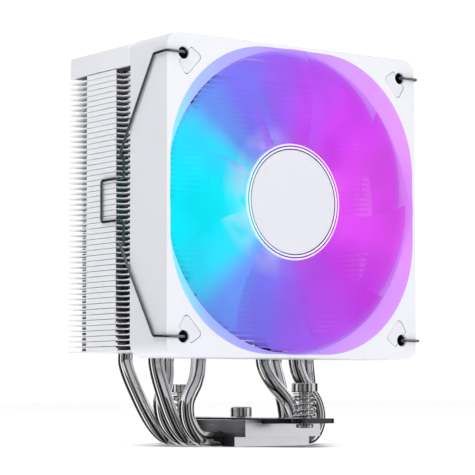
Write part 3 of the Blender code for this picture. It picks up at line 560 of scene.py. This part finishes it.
def smooth_path(points, steps):
    """A Catmull-Rom curve through the points."""
    points = [Vector(point) for point in points]
    ends = [2 * points[0] - points[1], *points, 2 * points[-1] - points[-2]]
    path = []
    for before, here, there, after in zip(ends, ends[1:], ends[2:], ends[3:]):
        for step in range(steps):
            t = step / steps
            path.append(0.5 * (2 * here + (there - before) * t
                               + (2 * before - 5 * here + 4 * there - after) * t ** 2
                               + (3 * here - before - 3 * there + after) * t ** 3))
    return path + [points[-1]]


def combined(meshes):
    """One mesh from several, each left a closed shell."""
    work = bmesh.new()
    for mesh in meshes:
        work.from_mesh(mesh)
    return to_mesh("combined", work)


def cut(mesh, cutters, edge=0.0, operation="DIFFERENCE"):
    """The mesh with cutters taken out, and its sharp edges rounded afterwards."""
    obj = guide("cut", mesh)
    helpers = []
    for index, cutter in enumerate(cutters):
        helper = guide("cutter_%d" % index, cutter)
        helpers.append(helper)
        modifier = obj.modifiers.new("cut_%d" % index, "BOOLEAN")
        modifier.operation = operation
        modifier.object = helper
    if edge:
        bevel = obj.modifiers.new("edges", "BEVEL")
        bevel.width = edge
        bevel.segments = 2
        bevel.limit_method = "ANGLE"
        bevel.angle_limit = math.radians(40)
    result = baked(obj)
    for helper in helpers:
        bpy.data.objects.remove(helper, do_unlink=True)
    return result


STAND_UP = Matrix.Rotation(math.radians(90), 4, "X")


def at_fan(mesh, depth=0.0):
    """Turns a mesh made about Z to face the fan's front, its Z = 0 at a depth behind the front face."""
    return transformed(mesh, Matrix.Translation((0, fan_y(depth), AXIS_Z)) @ STAND_UP)


def fan_plate(outlines, front, rear, edge=0.0):
    return at_fan(plate(outlines, (rear - front) * MM, edge), (front + rear) / 2)


def depth_profile(points):
    """Profile in millimetres, as radius and depth behind the fan's front face."""
    return [(radius * MM, -depth * MM) for radius, depth in points]


# ---------------------------------------------------------------- fan frame

CORNERS = {"upper_left": (-1, 1), "upper_right": (1, 1), "lower_left": (-1, -1), "lower_right": (1, -1)}


def pad_outline(sign_x, sign_z, grow=0.0):
    wedge = [(49.2, 54.9), (44.2, 51.6), (51.4, 43.7), (54.5, 49.0)]
    centre = Vector((49.5, 50))
    points = []
    for corner in wedge:
        arm = Vector(corner) - centre
        point = (centre + arm * (1 + grow / arm.length)) * MM
        points.append((point.x * sign_x, point.y * sign_z))
    return rounded(points, [0.8 * MM, 1.6 * MM, 1.6 * MM, 0.8 * MM], 6)


def hole_centre(sign_x, sign_z):
    return (sign_x * HOLE_HALF, sign_z * HOLE_HALF)


def mouth_radius(turn):
    """Distance from the fan's axis to the rounded square mouth of the duct."""
    from_side = abs((turn + math.pi / 4) % (math.pi / 2) - math.pi / 4)
    flat = MOUTH_HALF - MOUTH_CORNER
    if math.tan(from_side) < flat / MOUTH_HALF:
        return MOUTH_HALF / math.cos(from_side)
    along = flat * (math.cos(from_side) + math.sin(from_side))
    return along + math.sqrt(along ** 2 - 2 * flat ** 2 + MOUTH_CORNER ** 2)


def duct_flare(count=160):
    """Cutter that opens the round duct into its rounded square mouth."""
    work = bmesh.new()
    rings = []
    for depth in (-0.5, 0.0, 1.0, 2.2, 3.2, 4.2):
        share = depth * MM / FLARE_DEPTH
        share = share * (1.25 - 0.25 * share)
        ring = []
        for index in range(count):
            turn = 2 * math.pi * index / count
            radius = mouth_radius(turn) * (1 - share) + (DUCT_RADIUS - 0.4 * MM) * share
            ring.append(work.verts.new((radius * math.cos(turn), radius * math.sin(turn), -depth * MM)))
        rings.append(ring)
    for one, other in zip(rings, rings[1:]):
        for i in range(count):
            j = (i + 1) % count
            work.faces.new((one[i], one[j], other[j], other[i]))
    work.faces.new(rings[0])
    work.faces.new(rings[-1])
    return at_fan(to_mesh("flare", work))


def give_faces(obj, material, test):
    """Puts another material on the faces that pass a test of their centre and normal."""
    obj.data.materials.append(material)
    last = len(obj.data.materials) - 1
    for face in obj.data.polygons:
        if test(face.center, face.normal):
            face.material_index = last


def in_duct(centre, normal):
    """The duct's wall and mouth, which face the fan's axis."""
    radial = Vector((centre.x, centre.z - AXIS_Z))
    facing = radial.normalized().dot(Vector((normal.x, normal.z)))
    return radial.length < 64.4 * MM and facing < -0.25


def from_axis(centre):
    return Vector((centre.x, centre.z - AXIS_Z)).length


def in_groove(centre, normal):
    return GROOVE_INNER < from_axis(centre) < GROOVE_OUTER and fan_y(1.9) < centre.y < fan_y(3)


def in_cap_seat(centre, normal):
    return from_axis(centre) < SEAT_RADIUS and fan_y(2.0) < centre.y < fan_y(3.2)


def on_hub_side(centre, normal):
    return from_axis(centre) > HUB_RADIUS - 0.06 * MM and centre.y > fan_y(2.3)


def on_end(centre, normal):
    return abs(normal.x) > 0.9


def make_frame():
    centres = [hole_centre(*signs) for signs in CORNERS.values()]
    holes = [circle(HOLE_RADIUS, 32, centre) for centre in centres]
    outer = rounded(rectangle(FAN_HALF, FAN_HALF), [5.5 * MM] * 4, 12)
    body = fan_plate([outer, circle(DUCT_RADIUS, 160)] + holes, 0, FAN_DEPTH / MM, 0.5 * MM)
    pockets = [fan_plate([pad_outline(*signs, grow=0.28)], -1, 2.3) for signs in CORNERS.values()]
    plugs = [fan_plate([circle(HOLE_RADIUS + 0.3 * MM, 32, centre)], 1.0, 27) for centre in centres]
    housing = cut(body, [duct_flare()] + pockets + plugs)
    housing = finished("fan_housing", housing, WHITE_FRAME, "cooler", "fan_frame", 32)
    give_faces(housing, DUCT_LIT, in_duct)
    # Dark sleeves inside the screw holes: painted shade, not a real part.
    shade_sleeves = []
    for centre, hole in zip(centres, holes):
        shade_sleeves.append(fan_plate([circle(HOLE_RADIUS + 0.28 * MM, 32, centre), hole], 1.0, 24.9))
    finished("hole_painted_shade", combined(shade_sleeves), RECESS_SHADE, "cooler", "fan_frame", 40)

    rear = FAN_DEPTH / MM
    arms = []
    for index in range(4):
        arm = block((10 * MM, -STRUT_HALF, -STRUT_DEPTH),
                    (DUCT_RADIUS + 0.6 * MM, STRUT_HALF, STRUT_DEPTH), 0.6 * MM)
        turn = Matrix.Rotation(math.radians(45 + 90 * index), 4, "Z")
        arms.append(at_fan(transformed(arm, turn), rear - 1.75))
    disc = depth_profile([(0, 22.9), (24.6, 22.9), (25.3, 23.4), (25.3, 24.4), (24.9, 24.8), (0, 24.8)])
    arms.append(at_fan(lathe(disc, 96, closed=False)))
    tube_wall = depth_profile([(3.3, 6.1), (4.3, 6.1), (4.3, 23.4), (3.3, 23.4)])
    arms.append(at_fan(lathe(tube_wall, 40)))
    finished("fan_struts", combined(arms), WHITE_FRAME, "cooler", "fan_frame", 40)


def make_pads():
    for name, signs in CORNERS.items():
        pad = fan_plate([pad_outline(*signs, grow=0.0)], 0.12, 2.0, 0.18 * MM)
        bite = fan_plate([circle(HOLE_RADIUS + 0.25 * MM, 32, hole_centre(*signs))], -1, 3)
        finished("pad_" + name, cut(pad, [bite]), WHITE_PAD, "cooler", "corner_pad_" + name, 40)


# ---------------------------------------------------------------- rotor and motor

def blade_sheet(index, rows=22, columns=16):
    """The middle surface of a blade as a grid: wide, swept forward and twisted."""
    root = HUB_RADIUS - 0.5 * MM
    grid = []
    for i in range(rows):
        out = i / (rows - 1)
        radius = root + (TIP_RADIUS - root) * out
        chord = math.radians(ROOT_CHORD - CHORD_TAPER * out)
        sweep = BLADE_SWEEP * out ** 1.5
        reach = (ROOT_REACH - REACH_TAPER * out) * MM
        line = []
        for j in range(columns):
            along = j / (columns - 1)
            turn = 2 * math.pi * index / BLADES + sweep + chord * (along - 0.5)
            depth = BLADE_FRONT + reach * (1 - along) - BLADE_CAMBER * math.sin(math.pi * along)
            line.append(Vector((radius * math.cos(turn), FRONT_Y + depth, AXIS_Z + radius * math.sin(turn))))
        grid.append(line)
    return grid


def blade_mesh(index):
    """A blade of aerofoil section: thickest before its middle, thin at its rims."""
    grid = blade_sheet(index)
    rows, columns = len(grid), len(grid[0])
    work = bmesh.new()
    faces = []
    for side in (-1, 1):
        sheet = []
        for i in range(rows):
            out = i / (rows - 1)
            line = []
            for j in range(columns):
                along = j / (columns - 1)
                radial = grid[min(i + 1, rows - 1)][j] - grid[max(i - 1, 0)][j]
                chordwise = grid[i][min(j + 1, columns - 1)] - grid[i][max(j - 1, 0)]
                normal = radial.cross(chordwise).normalized()
                swell = SWELL * math.sqrt(1 - along) * along ** 0.8
                thick = (RIM_THICKNESS + swell) * (1 - TIP_THINNING * out)
                line.append(work.verts.new(grid[i][j] + normal * side * thick * MM * 0.5))
            sheet.append(line)
        faces.append(sheet)
        for low, high in zip(sheet, sheet[1:]):
            for j in range(columns - 1):
                work.faces.new((low[j], low[j + 1], high[j + 1], high[j]))
    near, far = faces
    rim = [(0, j) for j in range(columns)] + [(i, columns - 1) for i in range(1, rows)]
    rim += [(rows - 1, j) for j in range(columns - 2, -1, -1)] + [(i, 0) for i in range(rows - 2, 0, -1)]
    for (a, b), (c, d) in zip(rim, rim[1:] + rim[:1]):
        work.faces.new((near[a][b], near[c][d], far[c][d], far[a][b]))
    return to_mesh("blade", work)


def make_rotor():
    blades = combined([blade_mesh(index) for index in range(BLADES)])
    finished("impeller_blades", blades, BLADE_GLOW, "rotor", "impeller", 50)
    cup = depth_profile([(20.5, 3.1), (20.5, 2.0), (20.6, 1.85), (21.15, 1.8), (21.25, 1.9), (21.3, 2.7),
                         (21.7, 2.7), (21.75, 1.9), (21.9, 1.75), (22.2, 1.75), (22.4, 1.95), (22.5, 2.4),
                         (22.5, 20.2), (21.3, 20.2), (21.3, 4.3), (1.9, 4.3), (1.9, 3.1)])
    hub = finished("impeller_hub", at_fan(lathe(cup, 128)), HUB_WHITE, "rotor", "impeller", 30)
    give_faces(hub, GROOVE_LIT, in_groove)
    # Painted shade on the seat round and under the hub cap.
    give_faces(hub, RECESS_SHADE, in_cap_seat)
    give_faces(hub, BLADE_GLOW, on_hub_side)
    cap = depth_profile([(0, 1.28), (8, 1.32), (14, 1.42), (18, 1.58), (19.6, 1.74), (20.05, 1.95),
                         (20.2, 2.3), (20.2, 2.7), (0, 2.7)])
    finished("cap_disc", at_fan(lathe(cap, 128, closed=False)), CAP_SILVER, "rotor", "hub_cap", 40)
    magnet = depth_profile([(19.4, 7.2), (19.6, 7.0), (20.8, 7.0), (21.0, 7.2), (21.0, 18.2), (20.8, 18.4),
                            (19.6, 18.4), (19.4, 18.2)])
    finished("magnet_ring", at_fan(lathe(magnet, 96)), MAGNET, "rotor", "rotor_magnet")
    shaft = depth_profile([(0, 3.0), (1.2, 3.0), (1.5, 3.3), (1.5, 21.1), (1.2, 21.4), (0, 21.4)])
    finished("shaft_pin", at_fan(lathe(shaft, 32, closed=False)), STEEL, "rotor", "rotor_shaft")
    snap = depth_profile([(1.8, 20.9), (2.8, 20.9), (2.8, 21.5), (1.8, 21.5)])
    finished("snap_washer", at_fan(lathe(snap, 40)), STEEL, "rotor", "shaft_retainer")


def make_motor():
    sleeve = depth_profile([(1.8, 6.2), (3.0, 6.2), (3.0, 20.6), (1.8, 20.6)])
    finished("bearing_sleeve", at_fan(lathe(fillet(sleeve, 0.15 * MM), 48)), BRASS, "cooler", "shaft_bearing")
    board = depth_profile([(4.7, 19.2), (18.8, 19.2), (18.8, 20.4), (4.7, 20.4)])
    finished("board_disc", at_fan(lathe(board, 80)), BOARD, "cooler", "circuit_board")
    light = depth_profile([(22.9, 19.9), (25.1, 19.9), (25.1, 21.4), (22.9, 21.4)])
    finished("light_diffuser", at_fan(lathe(fillet(light, 0.3 * MM), 96)), RING_GLOW, "cooler", "light_ring")
    for node, material in [("stator_core", STEEL)] + [("stator_winding_%d" % i, COPPER) for i in range(1, 5)]:
        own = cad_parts[node]
        own.data.materials.clear()
        own.data.materials.append(material)


# ---------------------------------------------------------------- fins and cover

LEGS = []
for index in range(4):
    low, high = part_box("heat_pipe_%d" % (index + 1))
    LEGS.append((high.x - PIPE_RADIUS if index % 2 else INNER_LEG_X, high.y - PIPE_RADIUS))


def fin_outline():
    """A fin's edge: a chamfered front lip, the clip's notch, then the straight side to the rear."""
    edge = STACK_HALF - 0.12 * MM
    lip, floor, fillet_size = edge - LIP_INSET, edge - NOTCH_DEPTH, 0.5 * MM
    half = [(lip - 2.2 * MM, STACK_FRONT), (lip, STACK_FRONT + 2.3 * MM), (lip, NOTCH_FRONT),
            (floor + fillet_size, NOTCH_FRONT), (floor, NOTCH_FRONT + fillet_size), (floor, -2.2 * MM),
            (floor + fillet_size, -1.7 * MM), (edge, -1.5 * MM), (edge, STACK_REAR)]
    return half + [(-x, y) for x, y in reversed(half)]


def fin_group_mesh():
    """Four fins with the folds that space them: side walls, rear tabs and a collar round each pipe."""
    holes = [circle(PIPE_RADIUS + 0.1 * MM, 16, (side * x, y), 0.1) for x, y in LEGS for side in (-1, 1)]
    fin = plate([fin_outline()] + holes, FIN_THICKNESS)
    bore, rim, top = PIPE_RADIUS + 0.06 * MM, PIPE_RADIUS + 0.32 * MM, FIN_PITCH * 0.92
    collar = lathe([(bore, 0), (rim, 0), (rim, top), (bore, top)], 12)
    fold_low, fold_high = FIN_THICKNESS * 0.2, FIN_PITCH - 0.22 * MM
    shells = []
    for level in range(FINS_PER_NODE):
        lift = Matrix.Translation((0, 0, FIN_PITCH * level))
        pieces = [transformed(fin.copy(), Matrix.Translation((0, 0, FIN_THICKNESS / 2)))]
        for side in (-1, 1):
            ends = sorted((side * STACK_HALF, side * (STACK_HALF - 0.4 * MM)))
            pieces.append(block((ends[0], WALL_FRONT, fold_low), (ends[1], WALL_REAR, fold_high), 0.1 * MM))
            ends = sorted((side * TAB_INNER, side * TAB_OUTER))
            pieces.append(block((ends[0], STACK_REAR - 0.5 * MM, fold_low),
                                (ends[1], STACK_REAR - 0.05 * MM, fold_high)))
            for x, y in LEGS:
                seat = Matrix.Translation((side * x, y, FIN_THICKNESS / 2))
                pieces.append(transformed(collar.copy(), seat))
        shells += [transformed(piece, lift) for piece in pieces]
    return combined(shells)


def make_fins():
    whole = fin_group_mesh()
    for index, node in enumerate(FIN_NODES):
        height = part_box(node)[0].z
        finished("fins_%02d" % (index + 1), whole, FIN_WHITE, "cooler", node, 30, (0, 0, height))


def make_cover():
    low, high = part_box("top_cover")
    wall = Vector((COVER_WALL, COVER_WALL, COVER_WALL))
    shell = block(low, high, COVER_EDGE, 5)
    inside = block((low.x + COVER_WALL, low.y + COVER_WALL, low.z - 2 * MM), high - wall)
    trim = block((low.x - MM, low.y - MM, low.z - 3 * MM), (high.x + MM, high.y + MM, low.z + 0.9 * MM))
    upper = cut(shell, [trim])
    rim = rounded(rectangle((high.x - low.x) / 2, (high.y - low.y) / 2), [COVER_EDGE] * 4, 6)
    middle = Matrix.Translation((0, (low.y + high.y) / 2, low.z + 0.5 * MM))
    skirt = transformed(plate([rim], 1.0 * MM, 0.2 * MM), middle)
    whole = cut(combined([upper]), [skirt], operation="UNION")
    finished("cover_shell", cut(whole, [inside]), WHITE_COVER, "cooler", "top_cover", 32)


# ---------------------------------------------------------------- heat pipes, base and bar

INNER_ROUTE = ((24.5, 2.7), (28.0, 3.9), (30.4, 6.6), (31.7, 9.8), (31.9, 13.0), (31.3, 16.6),
               (29.4, 20.0), (26.9, 23.4), (24.9, 27.6), (23.9, 32.0), (23.6, 36.5))
OUTER_ROUTE = ((25.0, 2.7), (28.8, 3.6), (31.4, 6.2), (33.2, 9.8), (34.6, 14.6), (35.7, 20.4),
               (36.6, 26.4), (37.0, 32.0), (37.0, 36.5))


def base_y(index):
    """Y of a pipe where it crosses the base."""
    return (index - 1.5) * PIPE_SPACING


def pipe_mesh(index):
    route = OUTER_ROUTE if index % 2 else INNER_ROUTE
    leg_x, leg_y = LEGS[index]
    low_y = base_y(index)
    leg = []
    for x, z in route:
        share = min(1, (z * MM - PIPE_BASE_Z) / (LEG_SPREAD_Z - PIPE_BASE_Z))
        leg.append((x * MM, low_y + (leg_y - low_y) * share, z * MM))
    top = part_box("heat_pipe_%d" % (index + 1))[1].z
    curved = smooth_path([(15 * MM, low_y, PIPE_BASE_Z)] + leg, 5)
    right = [tuple(point) for point in curved] + [(leg_x, leg_y, 60 * MM), (leg_x, leg_y, top - 0.1 * MM)]
    path = [(-x, y, z) for x, y, z in reversed(right)] + right
    work = bmesh.new()
    work.from_mesh(tube(path, PIPE_RADIUS, 32))
    geometry = work.verts[:] + work.edges[:] + work.faces[:]
    sliced = bmesh.ops.bisect_plane(work, geom=geometry, plane_co=(0, 0, 0), plane_no=(0, 0, -1),
                                    clear_outer=True, dist=1e-7)
    rim = [item for item in sliced["geom_cut"] if isinstance(item, bmesh.types.BMEdge)]
    bmesh.ops.holes_fill(work, edges=rim, sides=0)
    return to_mesh("pipe", work)


def make_pipes():
    for index in range(4):
        name = "heat_pipe_%d" % (index + 1)
        finished("nickel_pipe_%d" % (index + 1), pipe_mesh(index), NICKEL, "cooler", name, 40)


def make_base():
    low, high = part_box("base_block")
    bar_low, bar_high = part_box("mounting_bar")
    body = block((low.x, low.y, FOOT_HEIGHT), high)
    inset = 0.02 * MM
    foot = block((low.x + inset, -FOOT_HALF_Y, low.z), (high.x - inset, FOOT_HALF_Y, FOOT_HEIGHT + MM))
    whole = cut(body, [foot], operation="UNION")
    channel = block((bar_low.x - 0.3 * MM, low.y - MM, bar_low.z - 0.25 * MM),
                    (bar_high.x + 0.3 * MM, high.y + MM, high.z + MM))
    cutters = [channel]
    radius, reach = PIPE_RADIUS + 0.12 * MM, 20 * MM
    for index in range(4):
        groove = lathe([(0, -reach), (radius, -reach), (radius, reach), (0, reach)], 48, closed=False)
        lying = Matrix.Rotation(math.pi / 2, 4, "Y")
        cutters.append(transformed(groove, Matrix.Translation((0, base_y(index), PIPE_BASE_Z)) @ lying))
    bored = lathe([(0, 7 * MM), (2.0 * MM, 7 * MM), (2.0 * MM, 10 * MM), (0, 10 * MM)], 32, closed=False)
    cutters.append(bored)
    base = finished("base_milled", cut(whole, cutters, 0.18 * MM), BASE_METAL, "cooler", "base_block", 32)
    # Both end faces of the base take the darker copy: painted shade.
    give_faces(base, BASE_END_SHADE, on_end)


def make_bar():
    low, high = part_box("mounting_bar")
    outline = rounded(rectangle(high.x, high.y), [4 * MM] * 4, 10)
    holes = [circle(2.5 * MM, 32, (0, y)) for y in (-SCREW_Y, SCREW_Y)] + [circle(2.0 * MM, 32)]
    mesh = plate([outline] + holes, high.z - low.z, 0.25 * MM)
    lift = Matrix.Translation((0, 0, (low.z + high.z) / 2))
    finished("bar_plate", transformed(mesh, lift), BAR_METAL, "cooler", "mounting_bar", 32)


# ---------------------------------------------------------------- screws and springs

def cross_slot(half, width, top, depth, centre_y):
    arms = []
    for turn in (0, 90):
        arm = block((-half, -width / 2, top - depth), (half, width / 2, top + MM))
        turned = Matrix.Rotation(math.radians(turn), 4, "Z")
        arms.append(transformed(arm, Matrix.Translation((0, centre_y, 0)) @ turned))
    return arms


def make_centre_screw():
    low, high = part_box("centre_screw")
    head_low, top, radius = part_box("mounting_bar")[1].z + 0.3 * MM, high.z, high.x
    profile = [(0, top - 1.4 * MM), (1.9 * MM, top - 1.4 * MM), (2.1 * MM, top), (radius - 0.4 * MM, top),
               (radius, top - 0.4 * MM), (radius, head_low + 0.15 * MM), (radius - 0.15 * MM, head_low),
               (1.7 * MM, head_low), (1.7 * MM, low.z), (0, low.z)]
    mesh = lathe(profile, 80, closed=False)
    finished("bar_screw", mesh, SCREW_METAL, "cooler", "centre_screw", 30)


def make_spring_screw(where):
    body = where + "_screw"
    low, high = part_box(where + "_spring_screw")
    y, top, radius = (low.y + high.y) / 2, high.z, (high.x - low.x) / 2
    head = top - SCREW_HEAD_HEIGHT
    profile = [(0, top), (radius - 0.45 * MM, top), (radius - 0.12 * MM, top - 0.15 * MM),
               (radius, top - 0.45 * MM), (radius, head + 0.3 * MM), (radius - 0.3 * MM, head),
               (2.3 * MM, head), (2.3 * MM, 8 * MM), (2.25 * MM, 7.9 * MM)]
    thread = []
    height = 7.9 * MM
    while height > low.z + 0.45 * MM:
        thread += [(2.25 * MM, height), (1.95 * MM, height - 0.2 * MM)]
        height -= 0.4 * MM
    profile += thread + [(1.8 * MM, low.z), (0, low.z)]
    mesh = transformed(lathe(profile, 72, closed=False), Matrix.Translation((0, y, 0)))
    slots = cross_slot(3.3 * MM, 1.0 * MM, top, 1.2 * MM, y)
    finished(where + "_screw_body", cut(mesh, slots), SCREW_METAL, body, where + "_spring_screw", 30)

    carrier = where + "_screw_carrier"
    for piece, node, rim, edge in (("_flat_washer", "_washer", 4.6 * MM, 0.12 * MM),
                                   ("_snap_ring", "_retaining_ring", 3.3 * MM, 0.15 * MM)):
        low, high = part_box(where + node)
        bore = 2.6 * MM
        ring = fillet([(bore, low.z), (rim, low.z), (rim, high.z), (bore, high.z)], edge)
        mesh = transformed(lathe(ring, 64), Matrix.Translation((0, y, 0)))
        finished(where + piece, mesh, STEEL, carrier, where + node)
    make_spring(where, y)


def make_spring(where, y):
    """A compression spring whose end turns lie flat."""
    low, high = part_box(where + "_spring")
    start, end = low.z + SPRING_WIRE, high.z - SPRING_WIRE
    path = []
    for step in range(int(SPRING_TURNS * SPRING_STEPS) + 1):
        turn = step / SPRING_STEPS
        share = min(1, max(0, (turn - 0.5) / (SPRING_TURNS - 1)))
        share = share * share * (3 - 2 * share) * 0.25 + share * 0.75
        angle = 2 * math.pi * turn
        x, across = SPRING_RADIUS * math.cos(angle), SPRING_RADIUS * math.sin(angle)
        path.append((x, y + across, start + (end - start) * share))
    coil = tube(path, SPRING_WIRE, 12)
    obj = finished(where + "_coil", coil, SPRING_METAL, "cooler", where + "_spring", 60)
    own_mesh(obj)


# ---------------------------------------------------------------- wire clips

def make_clips():
    """Each wire is the same above and below the fan's axis: pin, leg, hook, then the loop."""
    side_x = STACK_HALF + 0.3 * MM + CLIP_WIRE
    front = FRONT_Y - 0.3 * MM - CLIP_WIRE
    hook_x, hook_y, hook_z = STACK_HALF - 1.8 * MM, -4.5 * MM, 16.9 * MM
    hole, loop_z = 52.5 * MM, 8 * MM
    upper = [(hole, fan_y(4.6), hole), (hole, front, hole), (side_x, front, hole),
             (side_x, fan_y(7.4), 52.2 * MM), (side_x, fan_y(30.6), hook_z), (hook_x, hook_y, hook_z),
             (hook_x, hook_y, loop_z), (side_x, hook_y, loop_z), (side_x, fan_y(43.4), loop_z)]
    corners = upper + [(x, y, -z) for x, y, z in reversed(upper)]
    for name, side in (("left", -1), ("right", 1)):
        path = bent_path([(side * x, y, AXIS_Z + z) for x, y, z in corners], CLIP_BEND)
        mesh = tube(path, CLIP_WIRE, 16, round_ends=True)
        finished("clip_wire_" + name, mesh, WIRE_METAL, name + "_clip", "fan_clip_" + name, 60)


# ---------------------------------------------------------------- floor, light and camera

def make_floor():
    work = bmesh.new()
    bmesh.ops.create_grid(work, x_segments=1, y_segments=1, size=4)
    floor = guide("floor", to_mesh("floor", work))
    finish = Finish("floor_pale", roughness=0.6)
    # Painted shadow: ambient occlusion darkens the floor's glow and its colour near the cooler, as a contact
    # shadow.
    near = finish.node("ShaderNodeAmbientOcclusion", samples=12)
    near.inputs["Distance"].default_value = 0.035
    shade = finish.ramp(near.outputs["AO"], [(0.34, (0.16, 0.16, 0.17, 1)), (0.88, (1, 1, 1, 1))])
    finish.into("Emission Color", shade)
    patches = finish.scaled(finish.noise(3, 2), 0, 1)
    paint = finish.mix(patches, (0.80, 0.80, 0.81, 1), (0.83, 0.83, 0.84, 1))
    finish.into("Base Color", finish.mix(1.0, paint, shade, "MULTIPLY"))
    finish.shader.inputs["Emission Strength"].default_value = 0.62
    reflected = finish.node("ShaderNodeLightPath").outputs["Is Glossy Ray"]
    clear = finish.node("ShaderNodeBsdfTransparent").outputs["BSDF"]
    surface = finish.choose(reflected, finish.shader.outputs["BSDF"], clear)
    finish.link(surface, finish.tree.nodes["Material Output"].inputs["Surface"])
    floor.data.materials.append(finish.material)


STUDIO_BANDS = [(0.0, 0.01), (0.03, 0.01), (0.045, 1.0), (0.28, 1.0), (0.295, 0.01), (0.41, 0.01),
                (0.42, 1.0), (0.465, 1.0), (0.475, 0.02), (0.505, 0.02), (0.515, 0.3), (0.575, 0.2),
                (0.585, 0.02), (0.62, 0.05), (0.63, 0.34), (0.68, 0.26), (0.69, 0.015), (0.735, 0.015),
                (0.745, 0.7), (0.785, 0.6), (0.795, 0.03), (0.825, 0.05), (0.835, 0.92), (0.925, 0.92),
                (0.935, 0.01)]


def make_world():
    """A white studio: shiny metal sees softboxes and dark flags round it, the rest plain light."""
    world = bpy.data.worlds.new("studio")
    scene.world = world
    world.use_nodes = True
    studio = Nodes(world.node_tree)
    studio.tree.nodes.clear()

    def light(colour, strength=1.0):
        made = studio.node("ShaderNodeBackground")
        studio.put(colour, made.inputs["Color"])
        made.inputs["Strength"].default_value = strength
        return made.outputs["Background"]

    towards = studio.split(studio.node("ShaderNodeTexCoord").outputs["Generated"])
    bands = studio.ramp(studio.around(towards), greys(STUDIO_BANDS))
    lift = studio.scaled(towards["Z"], 0.0, 1.0, 0.6, 0.95, "SMOOTHSTEP")
    drop = studio.scaled(towards["Z"], 0.5, 0.0, -0.7, -0.3, "SMOOTHSTEP")
    sky = studio.mix(lift, bands, (0.95, 0.95, 0.97, 1))
    glossy = light(studio.mix(drop, sky, (0.03, 0.03, 0.033, 1)))
    plain = light((0.97, 0.975, 1.0, 1), 0.29)
    white = light((1, 1, 1, 1), 1.02)
    rays = studio.node("ShaderNodeLightPath").outputs
    unseen = studio.choose(rays["Is Glossy Ray"], plain, glossy)
    whole = studio.choose(rays["Is Camera Ray"], unseen, white)
    studio.link(whole, studio.node("ShaderNodeOutputWorld").inputs["Surface"])


def add_softbox(name, place, target, size, power):
    data = bpy.data.lights.new(name, "AREA")
    data.shape = "SQUARE"
    data.size = size
    data.energy = power
    lamp = guide(name, data)
    lamp.location = place
    lamp.visible_glossy = False
    lamp.rotation_euler = (Vector(target) - Vector(place)).to_track_quat("-Z", "Y").to_euler()


def make_camera():
    data = bpy.data.cameras.new("camera")
    data.sensor_width = 36
    data.lens = 150.99
    data.clip_start, data.clip_end = 0.01, 20
    camera = guide("camera", data)
    yaw, pitch, roll = math.radians(36.08), math.radians(4.51), math.radians(-0.09)
    look = Vector((math.sin(yaw) * math.cos(pitch), math.cos(yaw) * math.cos(pitch), math.sin(pitch)))
    turn = look.to_track_quat("-Z", "Y").to_matrix().to_4x4() @ Matrix.Rotation(roll, 4, "Z")
    camera.location = (-0.46579, FRONT_Y - 0.60062, AXIS_Z - 0.07373)
    camera.rotation_euler = turn.to_euler()
    scene.camera = camera


make_frame()
make_pads()
make_rotor()
make_motor()
make_fins()
make_cover()
make_pipes()
make_base()
make_bar()
make_centre_screw()
make_spring_screw("front")
make_spring_screw("rear")
make_clips()
make_floor()
make_world()
add_softbox("front_softbox", (0.35, -1.2, 0.65), (0, 0, 0.08), 0.9, 6.2)
add_softbox("left_softbox", (-0.34, -0.12, 0.5), (0, 0, 0.14), 0.25, 0.75)
add_softbox("top_softbox", (-0.15, -0.1, 0.95), (0, 0, 0.15), 0.6, 1.7)
make_camera()
scene.view_settings.view_transform = "Standard"
